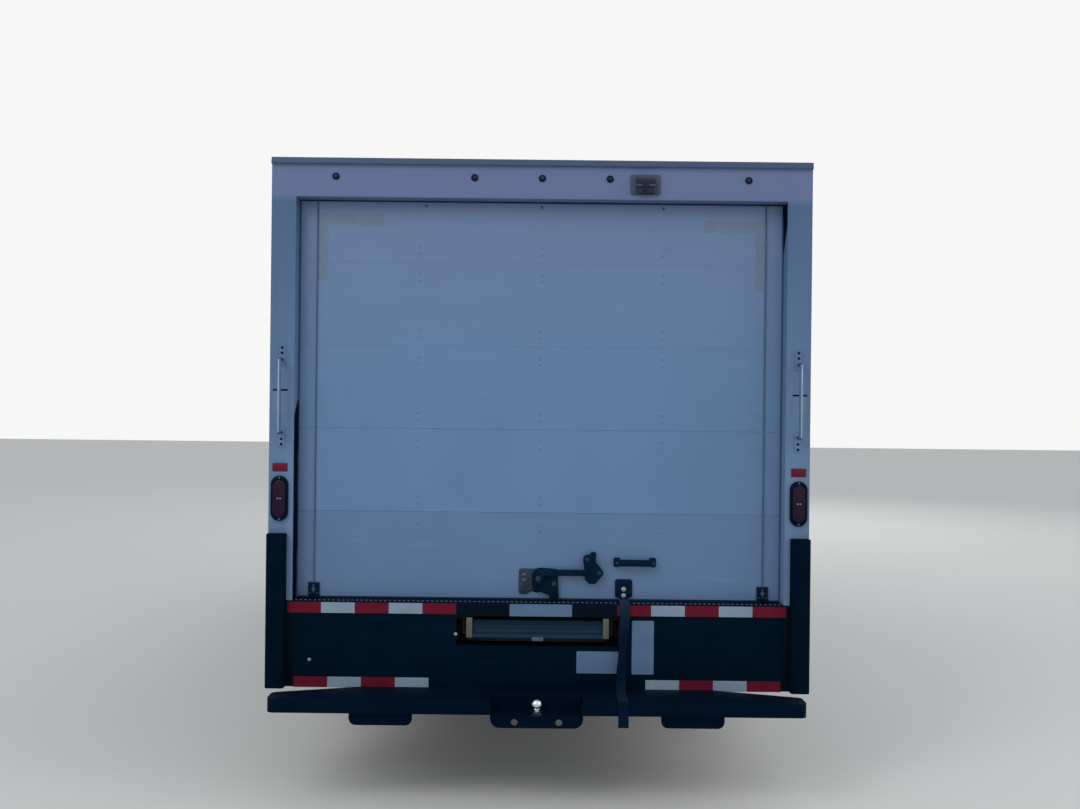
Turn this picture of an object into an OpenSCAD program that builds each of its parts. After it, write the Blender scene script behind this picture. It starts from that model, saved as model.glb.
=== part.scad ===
// Cutaway van with a dry freight box body, a roll-up rear door and a slide-out loading ramp.
// X points to the vehicle's right, Y forward and Z up. The origin is on the ground, at the middle.

/* [Chassis] */
// Distance between the front and the rear axle
wheelbase = 4013; // [3800:1:4300]
// From the front axle to the front bumper's face
front_overhang = 850; // [820:1:900]
// From the rear axle to the rear face of the box
rear_overhang = 2415; // [2300:1:2600]
// From the box's rear face to the rear bumper's face
bumper_reach = 230; // [210:1:280]
// Outer radius of every tyre
tyre_r = 372; // [360:1:380]
// Width of one tyre
tyre_w = 225; // [205:1:235]
// From the middle to the front wheel's centre plane
front_track_half = 850; // [840:1:870]
// From the middle to the joint face of a twin rear wheel
rear_track_half = 930; // [915:1:945]
// Distance between the two tyres of a twin wheel
twin_pitch = 256; // [250:1:270]

/* [Box] */
// Outer width of the box
box_w = 2438; // [2400:1:2500]
// Outer length of the box
box_len = 4880; // [4700:1:5000]
// Height of the load floor above the ground
deck_z = 860; // [850:1:880]
// Height of the roof above the ground
roof_z = 2855; // [2750:1:2950]
// Thickness of the box's walls
wall_t = 40; // [30:1:50]
// Width of each rear post beside the door
post_w = 111; // [100:1:120]
// Height of the header above the door
header_h = 175; // [165:1:200]
// Depth of the rear frame
frame_d = 110; // [100:1:130]
// How far the door's face lies inside the rear frame
door_recess = 80; // [60:1:82]
// Thickness of the roll-up door
door_t = 25; // [18:1:26]
// Height of the lowest door panel
low_panel_h = 395; // [370:1:410]
// Height of the next door panels
panel_h = 380; // [360:1:390]

/* [Cab] */
// Space between the cab and the box
cab_gap = 75; // [50:1:120]
// Thickness of the cab's panels and doors
skin_t = 35; // [28:1:40]
// Half of the cab's greatest width
cab_half_w = 1012; // [1005:1:1030]
// Height of the cab's roof
cab_roof_z = 2090; // [2060:1:2120]

/* [Ramp] */
// Outer width of the loading ramp
ramp_w = 644; // [600:1:650]
// Height of the loading ramp
ramp_h = 91; // [84:1:98]
// Length of the loading ramp
ramp_len = 3200; // [2900:1:3300]

/* [Hidden] */
$fn = 48;
arc_step = 12;
far = 4000;

// Running and seating gaps
seat_gap = 0.3;
shut_gap = 6;
pin_gap = 0.05;

// Places along the vehicle
overall_len = front_overhang + wheelbase + rear_overhang + bumper_reach;
front_y = overall_len / 2;
front_axle_y = front_y - front_overhang;
rear_axle_y = front_axle_y - wheelbase;
box_rear_y = rear_axle_y - rear_overhang;
box_front_y = box_rear_y + box_len;
cab_back_y = box_front_y + cab_gap;
bumper_rear_y = -overall_len / 2;

// Box body
box_half = box_w / 2;
sheet_set = 8;
open_half = box_half - post_w;
header_z = roof_z - header_h;
sill_h = 63;
sill_z = deck_z - sill_h;
leg_z = 472;
floor_t = 28;
cross_h = 75;
cross_z = deck_z - floor_t - cross_h;
cross_w = 60;
cross_pitch = 406;
roof_t = 45;
rail_top_h = 120;
corner_d = 120;
corner_r = 90;
door_face_y = box_rear_y + door_recess;
door_side_gap = 8;
door_half = open_half - door_side_gap;
panel_gap = 0.5;
seam = 4;
bay_y0 = box_rear_y + frame_d;
bay_y1 = box_front_y - wall_t;

// Ladder frame
rail_x = 432;
rail_flange = 75;
rail_t = 8;
rail_h = 190;
long_sill_h = 117;
rail_z = cross_z - long_sill_h - rail_h;
rail_y0 = box_rear_y + 150;
rail_nose = 700;
rail_y1 = front_axle_y + rail_nose;
tyre_zone = tyre_r + 60;
cross_ys = [for (y = [bay_y0 + 60 : cross_pitch : bay_y1 - 80])
    if (abs(y - rear_axle_y) > tyre_zone + cross_w / 2) y];
flap_y = max([for (y = cross_ys) if (y < rear_axle_y) y]);

// Ramp and its tray
ramp_half = ramp_w / 2;
tray_gap = 13;
tray_t = 10;
tray_half = ramp_half + tray_gap + tray_t;
tray_lip = 50;
tray_lip_t = 6;
ramp_top_z = sill_z - 6;
ramp_z = ramp_top_z - ramp_h;
ramp_rail_w = 27;
ramp_deck_z = ramp_z + 3;
ramp_deck_t = 14;

// Wheels
rim_r = 203;
rim_half = 85;
rim_t = 8;
lip_r = rim_r + 11;
lip_t = 11;
bead_half = rim_half - lip_t - seat_gap;
hub_bore = 30;
rear_spindle_r = 40;
kingpin_x = front_track_half - 90;
kingpin_r = 18;
axle_z = tyre_r;
arch_r = tyre_r + 68;
steer_arm = 165;

// Cab
cab_bottom_z = 470;
nose_y = front_y - 90;
cowl_y = front_axle_y - 104;
cowl_z = 1330;
header_y = front_axle_y - 654;
hood_front_z = 1105;
hood_lip_z = hood_front_z - 90;
cab_floor_z = 650;
cab_floor_t = 30;
firewall_y = front_axle_y - 204;
panel_t = 20;
door_front_y = front_axle_y - 344;
door_rear_y = cab_back_y + 129;
door_top_z = cab_roof_z - 130;
fender_y = door_front_y + shut_gap;
hood_half = cab_half_w - 162;
hood_rear_y = cowl_y - 2;
belt_z = 1370;
pillar_slope = (cowl_y - header_y) / (cab_roof_z - 50 - cowl_z);
roof_split_z = cab_roof_z - 105;
screen_low_z = cowl_z + 55;
screen_half = cab_half_w - 212;
nose_split_y = nose_y - 180;
nose_low_z = 700;
lamp_z0 = 795;
lamp_z1 = 990;

// Outlines. A corner table's columns are [first coordinate, second coordinate, corner radius],
// listed counter-clockwise. A positive inset shrinks the outline.
function unit(v) = v / norm(v);
function corner(a, p, b, r, inset) =
    let (
        u = unit(a - p),
        v = unit(b - p),
        half = acos(u * v) / 2,
        side = cross(p - a, b - p) > 0 ? 1 : -1,
        aim = unit(u + v),
        q = p + aim * side * inset / sin(half),
        round_r = r > 0 ? max(r - side * inset, 0) : 0,
        c = q + aim * round_r / sin(half),
        first = q + u * round_r / tan(half) - c,
        a0 = atan2(first[1], first[0]),
        sweep = side * (180 - 2 * half),
        steps = max(2, ceil(abs(sweep) / arc_step))
    )
    round_r < 0.01 ? [q]
        : [for (k = [0 : steps]) let (t = a0 + sweep * k / steps) c + round_r * [cos(t), sin(t)]];
function xy(row) = [row[0], row[1]];
function outline(table, inset = 0) =
    let (n = len(table))
    [for (i = [0 : n - 1])
        each corner(xy(table[(i + n - 1) % n]), xy(table[i]), xy(table[(i + 1) % n]), table[i][2], inset)];
function mirrored(half_table) =
    concat(half_table, [for (i = [len(half_table) - 1 : -1 : 0]) if (half_table[i][0] != 0)
        [-half_table[i][0], half_table[i][1], half_table[i][2]]]);
function box_table(a0, a1, b0, b1, r = 0) = [[a0, b0, r], [a1, b0, r], [a1, b1, r], [a0, b1, r]];

// Extrusions along one axis: x takes (Y, Z) outlines, y takes (X, Z) and z takes (X, Y)
module along_x(x0, x1) { translate([x0, 0, 0]) rotate([90, 0, 90]) linear_extrude(x1 - x0) children(); }
module along_y(y0, y1) { translate([0, y1, 0]) rotate([90, 0, 0]) linear_extrude(y1 - y0) children(); }
module along_z(z0, z1) { translate([0, 0, z0]) linear_extrude(z1 - z0) children(); }
module shape(table, inset = 0) { polygon(outline(table, inset)); }
module block(x, y, z) { translate([x[0], y[0], z[0]]) cube([x[1] - x[0], y[1] - y[0], z[1] - z[0]]); }
module rod_x(x0, x1, y, z, r) { translate([x0, y, z]) rotate([0, 90, 0]) cylinder(r = r, h = x1 - x0); }
module rod_y(y0, y1, x, z, r) { translate([x, y0, z]) rotate([-90, 0, 0]) cylinder(r = r, h = y1 - y0); }
module rod_z(z0, z1, x, y, r) { translate([x, y, z0]) cylinder(r = r, h = z1 - z0); }
module both_sides() { children(); mirror([1, 0, 0]) children(); }
module on_side(s) { mirror([s < 0 ? 1 : 0, 0, 0]) children(); }

// Chassis
module rail() {
    along_y(rail_y0, rail_y1) polygon([
        [rail_x - rail_flange, rail_z], [rail_x, rail_z], [rail_x, rail_z + rail_h],
        [rail_x - rail_flange, rail_z + rail_h], [rail_x - rail_flange, rail_z + rail_h - rail_t],
        [rail_x - rail_t, rail_z + rail_h - rail_t], [rail_x - rail_t, rail_z + rail_t],
        [rail_x - rail_flange, rail_z + rail_t]
    ]);
}

member_h = 70;
member_w = 80;
// Cross members of the ladder frame: one behind the tank, one past each end of the rear springs, one behind
// the gearbox, one under the cab's back and one at the rails' front ends
member_axle_gap = 700;
member_tail = 1500;
member_ys = [rail_y0, rail_y0 + member_tail, rear_axle_y + member_axle_gap, cab_back_y - 640, firewall_y - 796,
    rail_y1 - member_w];

module ladder_frame() {
    color("dimgray") union() {
        both_sides() rail();
        for (y = member_ys)
            block([-rail_x + rail_t, rail_x - rail_t], [y, y + member_w],
                [rail_z + rail_h - rail_t - member_h, rail_z + rail_h - rail_t]);
    }
}

spring_x = 545;
spring_w = 70;
spring_span = 640;
leaf_count = 5;
leaf_t = 13;
leaf_step = 115;
spring_top_z = axle_z + 55 + leaf_t * leaf_count + 12;
spring_rise = 60;
hanger_w = 34;

// Half lengths of the leaves, from the main leaf down, and the curve that they all follow
leaf_ends = [for (k = [0 : leaf_count - 1]) spring_span - k * leaf_step];
function leaf_z(y) = spring_top_z + spring_rise * pow(y / spring_span, 2);
function leaf_top(side) = [for (k = [0 : leaf_count - 1]) [side * leaf_ends[k], leaf_z(leaf_ends[k])]];
function leaf_low(side) = [for (k = [0 : leaf_count - 1])
    each [[side * leaf_ends[k], leaf_z(leaf_ends[k]) - k * leaf_t],
        [side * leaf_ends[k], leaf_z(leaf_ends[k]) - (k + 1) * leaf_t]]];
function reversed(list) = [for (k = [len(list) - 1 : -1 : 0]) list[k]];

module leaf_pack() {
    low = leaf_low(1);
    along_x(spring_x - spring_w / 2, spring_x + spring_w / 2) translate([rear_axle_y, 0]) polygon(concat(
        leaf_low(-1), [[0, spring_top_z - leaf_count * leaf_t]],
        reversed([for (k = [1 : len(low) - 1]) low[k]]), leaf_top(1), [[0, spring_top_z]],
        reversed([for (k = [1 : leaf_count - 1]) leaf_top(-1)[k]])));
    for (end = [-1, 1]) {
        eye_y = rear_axle_y + end * spring_span;
        eye_z = spring_top_z + spring_rise - leaf_t / 2;
        rod_x(rail_x, spring_x + spring_w / 2 + 8, eye_y, eye_z, 22);
        block([rail_x, rail_x + hanger_w], [eye_y - 60, eye_y + 60], [eye_z - 30, rail_z + rail_h - 10]);
    }
}

// A front spring stands on the axle beam and ends under a bracket on the frame rail
coil_x = 500;
coil_r = 32;
coil_bulge = 16;
coil_count = 6;
coil_cap = 12;
spring_seat_z = axle_z + 28;
coil_top_z = rail_z + rail_h - 34;
coil_pitch = (coil_top_z - spring_seat_z) / coil_count;
module front_spring() {
    translate([coil_x, front_axle_y, 0]) rotate_extrude() polygon(concat(
        [[0, spring_seat_z], [coil_r, spring_seat_z]],
        [for (k = [0 : coil_count - 1], a = [-60 : 30 : 60])
            [coil_r + coil_bulge * cos(a), spring_seat_z + coil_pitch * (k + 0.5 + 0.5 * sin(a))]],
        [[coil_r, coil_top_z], [coil_r + coil_bulge, coil_top_z], [coil_r + coil_bulge, coil_top_z + coil_cap],
            [0, coil_top_z + coil_cap]]));
    block([rail_x, coil_x], [front_axle_y - 30, front_axle_y + 30], [coil_top_z, coil_top_z + coil_cap]);
}

module springs() {
    color("black") {
        both_sides() leaf_pack();
        both_sides() front_spring();
    }
}

beam_w = 60;
eye_r = 36;
eye_half = 44;
module front_axle() {
    color("dimgray") union() {
        along_y(front_axle_y - beam_w / 2, front_axle_y + beam_w / 2)
            shape(mirrored([[400, axle_z - 78, 60], [560, axle_z - 28, 60], [kingpin_x, axle_z - 28, 0],
                [kingpin_x, axle_z + 28, 0], [430, axle_z + 28, 40], [330, axle_z - 18, 40]]));
        both_sides() {
            rod_z(axle_z - eye_half, axle_z + eye_half, kingpin_x, front_axle_y, eye_r);
            rod_z(axle_z - 86, axle_z + 86, kingpin_x, front_axle_y, kingpin_r);
        }
    }
}

ear_gap = 1;
ear_h = 36;
spindle_root_x = kingpin_x + 45;
spindle_end_x = front_track_half + 40;
module knuckle() {
    ear_z = eye_half + ear_gap;
    difference() {
        union() {
            for (z = [axle_z - ear_z - ear_h, axle_z + ear_z]) {
                rod_z(z, z + ear_h, kingpin_x, front_axle_y, eye_r);
                block([kingpin_x, spindle_root_x], [front_axle_y - eye_r, front_axle_y + eye_r], [z, z + ear_h]);
            }
            block([spindle_root_x - 5, spindle_root_x + 20], [front_axle_y - 50, front_axle_y + 50],
                [axle_z - ear_z - ear_h, axle_z + ear_z + ear_h]);
            rod_x(spindle_root_x, spindle_end_x, front_axle_y, axle_z, hub_bore - pin_gap);
            along_z(axle_z - ear_z - ear_h, axle_z - ear_z - ear_h + 20)
                polygon([[kingpin_x - 22, front_axle_y], [kingpin_x + 22, front_axle_y],
                    [kingpin_x - 28, front_axle_y - steer_arm - 18],
                    [kingpin_x - 66, front_axle_y - steer_arm - 18]]);
        }
        rod_z(0, axle_z * 2, kingpin_x, front_axle_y, kingpin_r + pin_gap);
        block([kingpin_x - eye_r - 4, spindle_root_x - 5], [front_axle_y - 60, front_axle_y + 60],
            [axle_z - ear_z, axle_z + ear_z]);
    }
}

tie_r = 15;
tie_end_r = tie_r + 3;
tie_gap = 0.6;
tie_z = axle_z - eye_half - ear_gap - ear_h - tie_gap - tie_end_r;
tie_half = kingpin_x - 58;
module tie_rod() {
    color("dimgray") union() {
        rod_x(-tie_half, tie_half, front_axle_y - steer_arm, tie_z, tie_r);
        both_sides() rod_x(tie_half - 110, tie_half, front_axle_y - steer_arm, tie_z, tie_end_r);
    }
}

diff_r = 165;
tube_r = 55;
tube_half = 700;
rear_hub_x = rear_track_half + 60;
module rear_axle() {
    color("dimgray") union() {
        rod_x(-tube_half, tube_half, rear_axle_y, axle_z, tube_r);
        rod_x(-rear_hub_x, rear_hub_x, rear_axle_y, axle_z, rear_spindle_r - pin_gap);
        rod_x(-90, 90, rear_axle_y, axle_z, diff_r);
        rod_y(rear_axle_y, rear_axle_y + 260, 0, axle_z, 68);
        both_sides() block([spring_x - spring_w / 2, spring_x + spring_w / 2],
            [rear_axle_y - 70, rear_axle_y + 70], [axle_z, spring_top_z - leaf_t * leaf_count]);
    }
}

// Revolved profiles turn about X. Their columns are [radius, place along X].
module turned_x(x) { translate([x, 0, axle_z]) rotate([0, 90, 0]) rotate_extrude($fn = 96) children(); }

module tyre_ring(x) {
    turned_x(x) shape([
        [rim_r + seat_gap, -bead_half, 0], [lip_r + 3, -bead_half, 0], [lip_r + 28, -tyre_w / 2 + 12, 14],
        [tyre_r - 82, -tyre_w / 2, 60], [tyre_r, -tyre_w / 2 + 8, 26], [tyre_r, tyre_w / 2 - 8, 26],
        [tyre_r - 82, tyre_w / 2, 60], [lip_r + 28, tyre_w / 2 - 12, 14],
        [lip_r + 3, bead_half, 0], [rim_r + seat_gap, bead_half, 0]
    ]);
}

barrel_in = rim_r - 12;
hand_holes = 8;
// A steel wheel: barrel with lips, and a disc that leaves the barrel at disc_root and meets the hub at disc_x
module rim_disc(x, disc_root, disc_x, bore) {
    turned_x(x) {
        polygon([[barrel_in, -rim_half], [lip_r, -rim_half], [lip_r, -rim_half + lip_t], [rim_r, -rim_half + lip_t],
            [rim_r, rim_half - lip_t], [lip_r, rim_half - lip_t], [lip_r, rim_half], [barrel_in, rim_half]]);
        polygon([[bore, disc_x], [128, disc_x], [172, disc_x + (disc_root - disc_x) * 0.6], [barrel_in, disc_root],
            [barrel_in + 4, disc_root + rim_t], [168, disc_x + (disc_root - disc_x) * 0.6 + rim_t],
            [124, disc_x + rim_t + 4], [bore, disc_x + rim_t + 4]]);
    }
}
module hand_hole_cut(x0, x1) {
    for (k = [0 : hand_holes - 1])
        rotate([360 * k / hand_holes, 0, 0]) rod_x(x0, x1, 0, 150, 20);
}

module front_rim() {
    difference() {
        union() {
            rim_disc(front_track_half, 30, 46, hub_bore);
            turned_x(front_track_half) polygon([[hub_bore, -18], [76, -18], [76, 60], [58, 60], [58, 96],
                [50, 104], [hub_bore, 104]]);
        }
        translate([0, 0, axle_z]) hand_hole_cut(front_track_half, front_track_half + 80);
    }
}

module rear_rims() {
    inner_x = rear_track_half - twin_pitch / 2;
    outer_x = rear_track_half + twin_pitch / 2;
    reach = twin_pitch / 2;
    difference() {
        union() {
            rim_disc(outer_x, -rim_half + 14, -reach, rear_spindle_r);
            mirror([1, 0, 0]) rim_disc(-inner_x, -rim_half + 14, -reach, rear_spindle_r);
            turned_x(rear_track_half) polygon([[rear_spindle_r, -70], [120, -70], [120, 14], [66, 14], [66, 110],
                [56, 120], [rear_spindle_r, 120]]);
        }
        translate([0, 0, axle_z]) hand_hole_cut(rear_track_half - 60, rear_track_half + 60);
    }
}

module front_rim_at(s) { color("silver") on_side(s) translate([0, front_axle_y, 0]) front_rim(); }
module front_tyre_at(s) {
    color([0.05, 0.05, 0.05]) on_side(s) translate([0, front_axle_y, 0]) tyre_ring(front_track_half);
}
module rear_rims_at(s) { color("silver") on_side(s) translate([0, rear_axle_y, 0]) rear_rims(); }
module rear_tyres_at(s) {
    color([0.05, 0.05, 0.05]) on_side(s) translate([0, rear_axle_y, 0])
        for (dx = [-twin_pitch / 2, twin_pitch / 2]) tyre_ring(rear_track_half + dx);
}

engine_y0 = firewall_y + 90;
engine_y1 = front_axle_y + 500;
engine_z = [425, 1030];
engine_half = 300;
shaft_z = 480;
gearbox_len = 560;
gearbox_y = engine_y0 - gearbox_len;
mount_y = [front_axle_y + 120, front_axle_y + 220];
mount_z = [rail_z + 100, rail_z + 150];
module powertrain() {
    tail_y = rear_axle_y + 260 + seat_gap;
    run = gearbox_y - tail_y;
    drop = shaft_z - axle_z;
    color("gray") union() {
        along_y(engine_y0, engine_y1)
            shape(mirrored([[engine_half * 0.6, engine_z[0], 40], [rail_x - rail_flange - 8, engine_z[0] + 160, 30],
                [engine_half, engine_z[1] - 150, 40], [engine_half * 0.7, engine_z[1], 40]]));
        both_sides() block([engine_half - 60, rail_x - rail_t], mount_y, mount_z);
        translate([0, engine_y0, shaft_z]) rotate([90, 0, 0]) rotate_extrude()
            polygon([[0, 0], [158, 0], [158, 90], [105, 210], [95, 430], [60, gearbox_len], [0, gearbox_len]]);
        translate([0, gearbox_y + 10, shaft_z]) rotate([90 + atan(drop / run), 0, 0])
            cylinder(r = 42, h = norm([run, drop]) + 4);
    }
}

exhaust_x = 560;
exhaust_z = 500;
muffler_y = [500, 1150];
hanger_ys = [for (y = cross_ys) if (y > muffler_y[0] && y < muffler_y[1] + 100) y];
module exhaust() {
    outlet_x = box_half - 60;
    color("gray") union() {
        rod_y(muffler_y[0], muffler_y[1], exhaust_x, exhaust_z, 95);
        rod_y(muffler_y[1], firewall_y - 300, exhaust_x, exhaust_z, 32);
        rod_y(muffler_y[0] - 150, muffler_y[0], exhaust_x, exhaust_z, 32);
        rod_x(exhaust_x, outlet_x, muffler_y[0] - 150, exhaust_z, 32);
        translate([exhaust_x, muffler_y[0] - 150, exhaust_z]) sphere(r = 32);
        for (y = hanger_ys) rod_z(exhaust_z, cross_z, exhaust_x, y, 8);
    }
}

tank_len = 850;
tank_front = 900;
tank_y = [rear_axle_y - tank_front - tank_len, rear_axle_y - tank_front];
module fuel_tank() {
    color("black") along_y(tank_y[0], tank_y[1])
        shape(box_table(-rail_x + rail_flange + seat_gap, rail_x - rail_flange - seat_gap,
            rail_z - 40, rail_z + rail_h - 12, 45));
}

// Cab body: the common part of a side, a front and a plan outline
function side_table(bottom, back) = [[back, bottom, 0], [nose_y + 4, bottom, 0], [nose_y + 4, hood_front_z, 130],
    [cowl_y, cowl_z, 60], [header_y, cab_roof_z - 50, 160], [back, cab_roof_z, 60]];
function front_table(bottom) = mirrored([[cab_half_w - 57, bottom, 0], [cab_half_w, 800, 300],
    [cab_half_w - 27, cowl_z, 300], [cab_half_w - 160, cab_roof_z - 22, 140], [0, cab_roof_z + 6, 0]]);
function plan_table(back) = mirrored([[cab_half_w, back, 0], [cab_half_w, nose_y - 430, 700],
    [cab_half_w - 112, nose_y - 52, 190], [0, nose_y + 4, 0]]);

module cab_body(inset, open) {
    below = open ? cab_bottom_z - 200 : cab_bottom_z;
    behind = open ? cab_back_y - 200 : cab_back_y;
    intersection() {
        along_x(-far / 2, far / 2) shape(side_table(below, behind), inset);
        along_y(0, far) shape(front_table(below), inset);
        along_z(0, far) shape(plan_table(behind), inset);
    }
}
module cab_layer(from, to) {
    difference() {
        cab_body(from, false);
        cab_body(to, true);
    }
}
module cab_skin() { cab_layer(0, skin_t); }
module cab_inside() { cab_body(skin_t, true); }

// Door outline: the lower front corner clears the wheel arch, the upper one follows the windshield pillar
pillar_gap = 80;
function pillar_y(z) = cowl_y - pillar_gap - pillar_slope * (z - cowl_z);
pillar_knee_z = cowl_z + (cowl_y - pillar_gap - door_front_y) / pillar_slope;
door_table = [[door_rear_y, 520, 50], [front_axle_y - arch_r - 40, 520, 50], [door_front_y, 790, 90],
    [door_front_y, pillar_knee_z, 60], [pillar_y(door_top_z), door_top_z, 50], [door_rear_y, door_top_z, 70]];
window_rim = 75;
window_table = [[door_rear_y + window_rim, belt_z, 50], [door_front_y - window_rim, belt_z, 40],
    [door_front_y - window_rim, pillar_knee_z - 40, 40], [pillar_y(door_top_z) - window_rim + 12, door_top_z - 66, 50],
    [door_rear_y + window_rim, door_top_z - 66, 60]];
screen_table = mirrored([[screen_half, screen_low_z, 70], [screen_half - 95, roof_split_z, 70]]);
glass_set = 8;
glass_t = 6;

module door_prism(grow) { along_x(cab_half_w / 2, far / 2) shape(door_table, -grow); }
module window_prism(inset) { along_x(cab_half_w / 2, far / 2) shape(window_table, inset); }
module screen_prism(inset) { along_y(header_y - 60, cowl_y + 60) shape(screen_table, inset); }
module arch_cut(grow) { both_sides() rod_x(505, far / 2, front_axle_y, axle_z, arch_r + grow); }
housing_t = 6;

paint = [0.36, 0.46, 0.60];

module cab_shell() {
    color(paint) union() {
        intersection() {
            cab_skin();
            block([-far / 2, far / 2], [cab_back_y + panel_t, front_y], [roof_split_z, far]);
        }
        intersection() {
            cab_body(0, false);
            block([-far / 2, far / 2], [cab_back_y, cab_back_y + panel_t], [cab_bottom_z + 180, far]);
        }
    }
}

module cab_sides() {
    color(paint) difference() {
        intersection() {
            cab_skin();
            block([-far / 2, far / 2], [cab_back_y + panel_t, cowl_y - 8], [cab_bottom_z, roof_split_z]);
        }
        both_sides() door_prism(shut_gap);
        screen_prism(0);
        block([-screen_half, screen_half], [firewall_y - 60, front_y], [0, screen_low_z]);
        arch_cut(0);
        both_sides() block([0, far], [fender_y, front_y], [0, cowl_z - 40]);
    }
}

// The cab stands on four round mounts on the frame rails
cab_mount_ys = [cab_back_y + 160, firewall_y - 140];
cab_mount_r = 36;
module cab_floor() {
    color("dimgray") union() {
        difference() {
            intersection() {
                cab_inside();
                block([-far / 2, far / 2], [cab_back_y + panel_t, firewall_y],
                    [cab_floor_z, cab_floor_z + cab_floor_t]);
            }
            arch_cut(housing_t);
        }
        both_sides() for (y = cab_mount_ys)
            rod_z(rail_z + rail_h, cab_floor_z + cab_floor_t / 2, rail_x - rail_flange / 2, y, cab_mount_r);
    }
}

// Hinges along +Z. The fixed side has the pin and the two end knuckles, the moving side the middle knuckle.
hinge_r = 9;
hinge_pin_r = 4;
hinge_clear = 1;
hinge_h = 60;
hinge_end = 18;
hinge_mid = [hinge_end + hinge_clear, hinge_h - hinge_end - hinge_clear];
hood_hinge_x = hood_half - 225;
hood_pivot = [cowl_y - 5, cowl_z + 2];
door_pivot = [cab_half_w + 3, door_front_y + shut_gap / 2];
door_hinge_zs = [850, 1190];
hinge_leaf_w = 34;
hinge_leaf_in = 38;
module hinge_fixed() {
    for (z = [0, hinge_h - hinge_end]) translate([0, 0, z]) cylinder(r = hinge_r, h = hinge_end);
    cylinder(r = hinge_pin_r, h = hinge_h);
}
module hinge_moving() { translate([0, 0, hinge_mid[0]]) cylinder(r = hinge_r, h = hinge_mid[1] - hinge_mid[0]); }
module hinge_bore() { translate([0, 0, -1]) cylinder(r = hinge_pin_r + pin_gap, h = hinge_h + 2); }
module hinge_room(z0, z1) { translate([0, 0, z0]) cylinder(r = hinge_r + hinge_clear, h = z1 - z0); }
// Room for the moving knuckle in the fixed panel, and for the fixed knuckles and the pin in the moving one
module fixed_room() { hinge_room(hinge_mid[0] - hinge_clear / 2, hinge_mid[1] + hinge_clear / 2); }
module moving_room() {
    hinge_bore();
    hinge_room(-hinge_clear, hinge_end + hinge_clear / 2);
    hinge_room(hinge_h - hinge_end - hinge_clear / 2, hinge_h + hinge_clear);
}
// A leaf runs from the barrel into the panel beside it: forward with 1, backward with -1
module hinge_leaf(way, z0, z1) {
    translate([0, 0, z0]) linear_extrude(z1 - z0) polygon([[hinge_r * 0.7, 0], [-hinge_r, way * hinge_leaf_w],
        [-hinge_leaf_in, way * hinge_leaf_w], [-hinge_leaf_in, way * hinge_r], [-hinge_r * 0.7, 0]]);
}
module at_hood_hinges() {
    both_sides() translate([hood_hinge_x, hood_pivot[0], hood_pivot[1]]) rotate([0, 90, 0]) children();
}
module at_door_hinges() { for (z = door_hinge_zs) translate([door_pivot[0], door_pivot[1], z]) children(); }

// The firewall carries the cowl under the windshield and a curved housing over each front wheel
module wheel_housing() {
    difference() {
        intersection() {
            cab_inside();
            rod_x(505, far / 2, front_axle_y, axle_z, arch_r + housing_t);
            block([0, far], [0, far], [axle_z + 120, far]);
        }
        rod_x(0, far, front_axle_y, axle_z, arch_r);
    }
}
module firewall() {
    color("dimgray") union() {
        difference() {
            intersection() {
                cab_inside();
                union() {
                    block([-far / 2, far / 2], [firewall_y, firewall_y + panel_t], [cab_floor_z, screen_low_z - 60]);
                    block([-screen_half, screen_half], [firewall_y, cowl_y - 20],
                        [screen_low_z - 90, screen_low_z - 60]);
                }
            }
            arch_cut(housing_t);
        }
        difference() {
            intersection() {
                cab_skin();
                block([-screen_half, screen_half], [firewall_y, hood_rear_y - shut_gap],
                    [screen_low_z - 110, screen_low_z]);
            }
            at_hood_hinges() fixed_room();
        }
        at_hood_hinges() hinge_fixed();
        both_sides() wheel_housing();
    }
}

module hood_prism(grow) {
    along_x(-hood_half - grow, hood_half + grow) polygon([[hood_rear_y - grow, cowl_z - 200],
        [nose_y - 200, hood_lip_z - grow], [nose_y + 60, hood_lip_z - grow],
        [nose_y + 60, cowl_z + 60], [hood_rear_y - grow, cowl_z + 60]]);
}

module hood() {
    color(paint) difference() {
        union() {
            intersection() {
                cab_skin();
                hood_prism(0);
            }
            at_hood_hinges() hinge_moving();
        }
        at_hood_hinges() moving_room();
    }
}

module fenders() {
    color(paint) union() {
        difference() {
            intersection() {
                cab_skin();
                union() {
                    block([-far / 2, far / 2], [fender_y, nose_split_y], [cab_bottom_z + 40, cowl_z - 40]);
                    block([-far / 2, far / 2], [cowl_y - 8, nose_split_y], [cab_bottom_z + 40, far]);
                }
            }
            hood_prism(shut_gap);
            arch_cut(0);
            block([-hood_half + 40, hood_half - 40], [0, far], [0, far]);
            both_sides() at_door_hinges() fixed_room();
        }
        both_sides() at_door_hinges() {
            hinge_fixed();
            hinge_leaf(1, 0, hinge_end);
            hinge_leaf(1, hinge_h - hinge_end, hinge_h);
        }
    }
}

lamp_gap = 40;
lamp_x = [hood_half - 250, hood_half + 10];
grille_half = lamp_x[0] - lamp_gap;
grille_z = [lamp_z0 - 20, lamp_z1 - 5];
module lamp_prism(inset) {
    both_sides() along_y(nose_split_y, far) shape(box_table(lamp_x[0], lamp_x[1], lamp_z0, lamp_z1, 26), inset);
}

module nose_panel() {
    color(paint) difference() {
        intersection() {
            cab_skin();
            block([-far / 2, far / 2], [nose_split_y, far], [nose_low_z, cowl_z]);
        }
        hood_prism(shut_gap);
        lamp_prism(0);
        along_y(nose_split_y, far) shape(box_table(-grille_half, grille_half, grille_z[0], grille_z[1], 30));
    }
}

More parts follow.
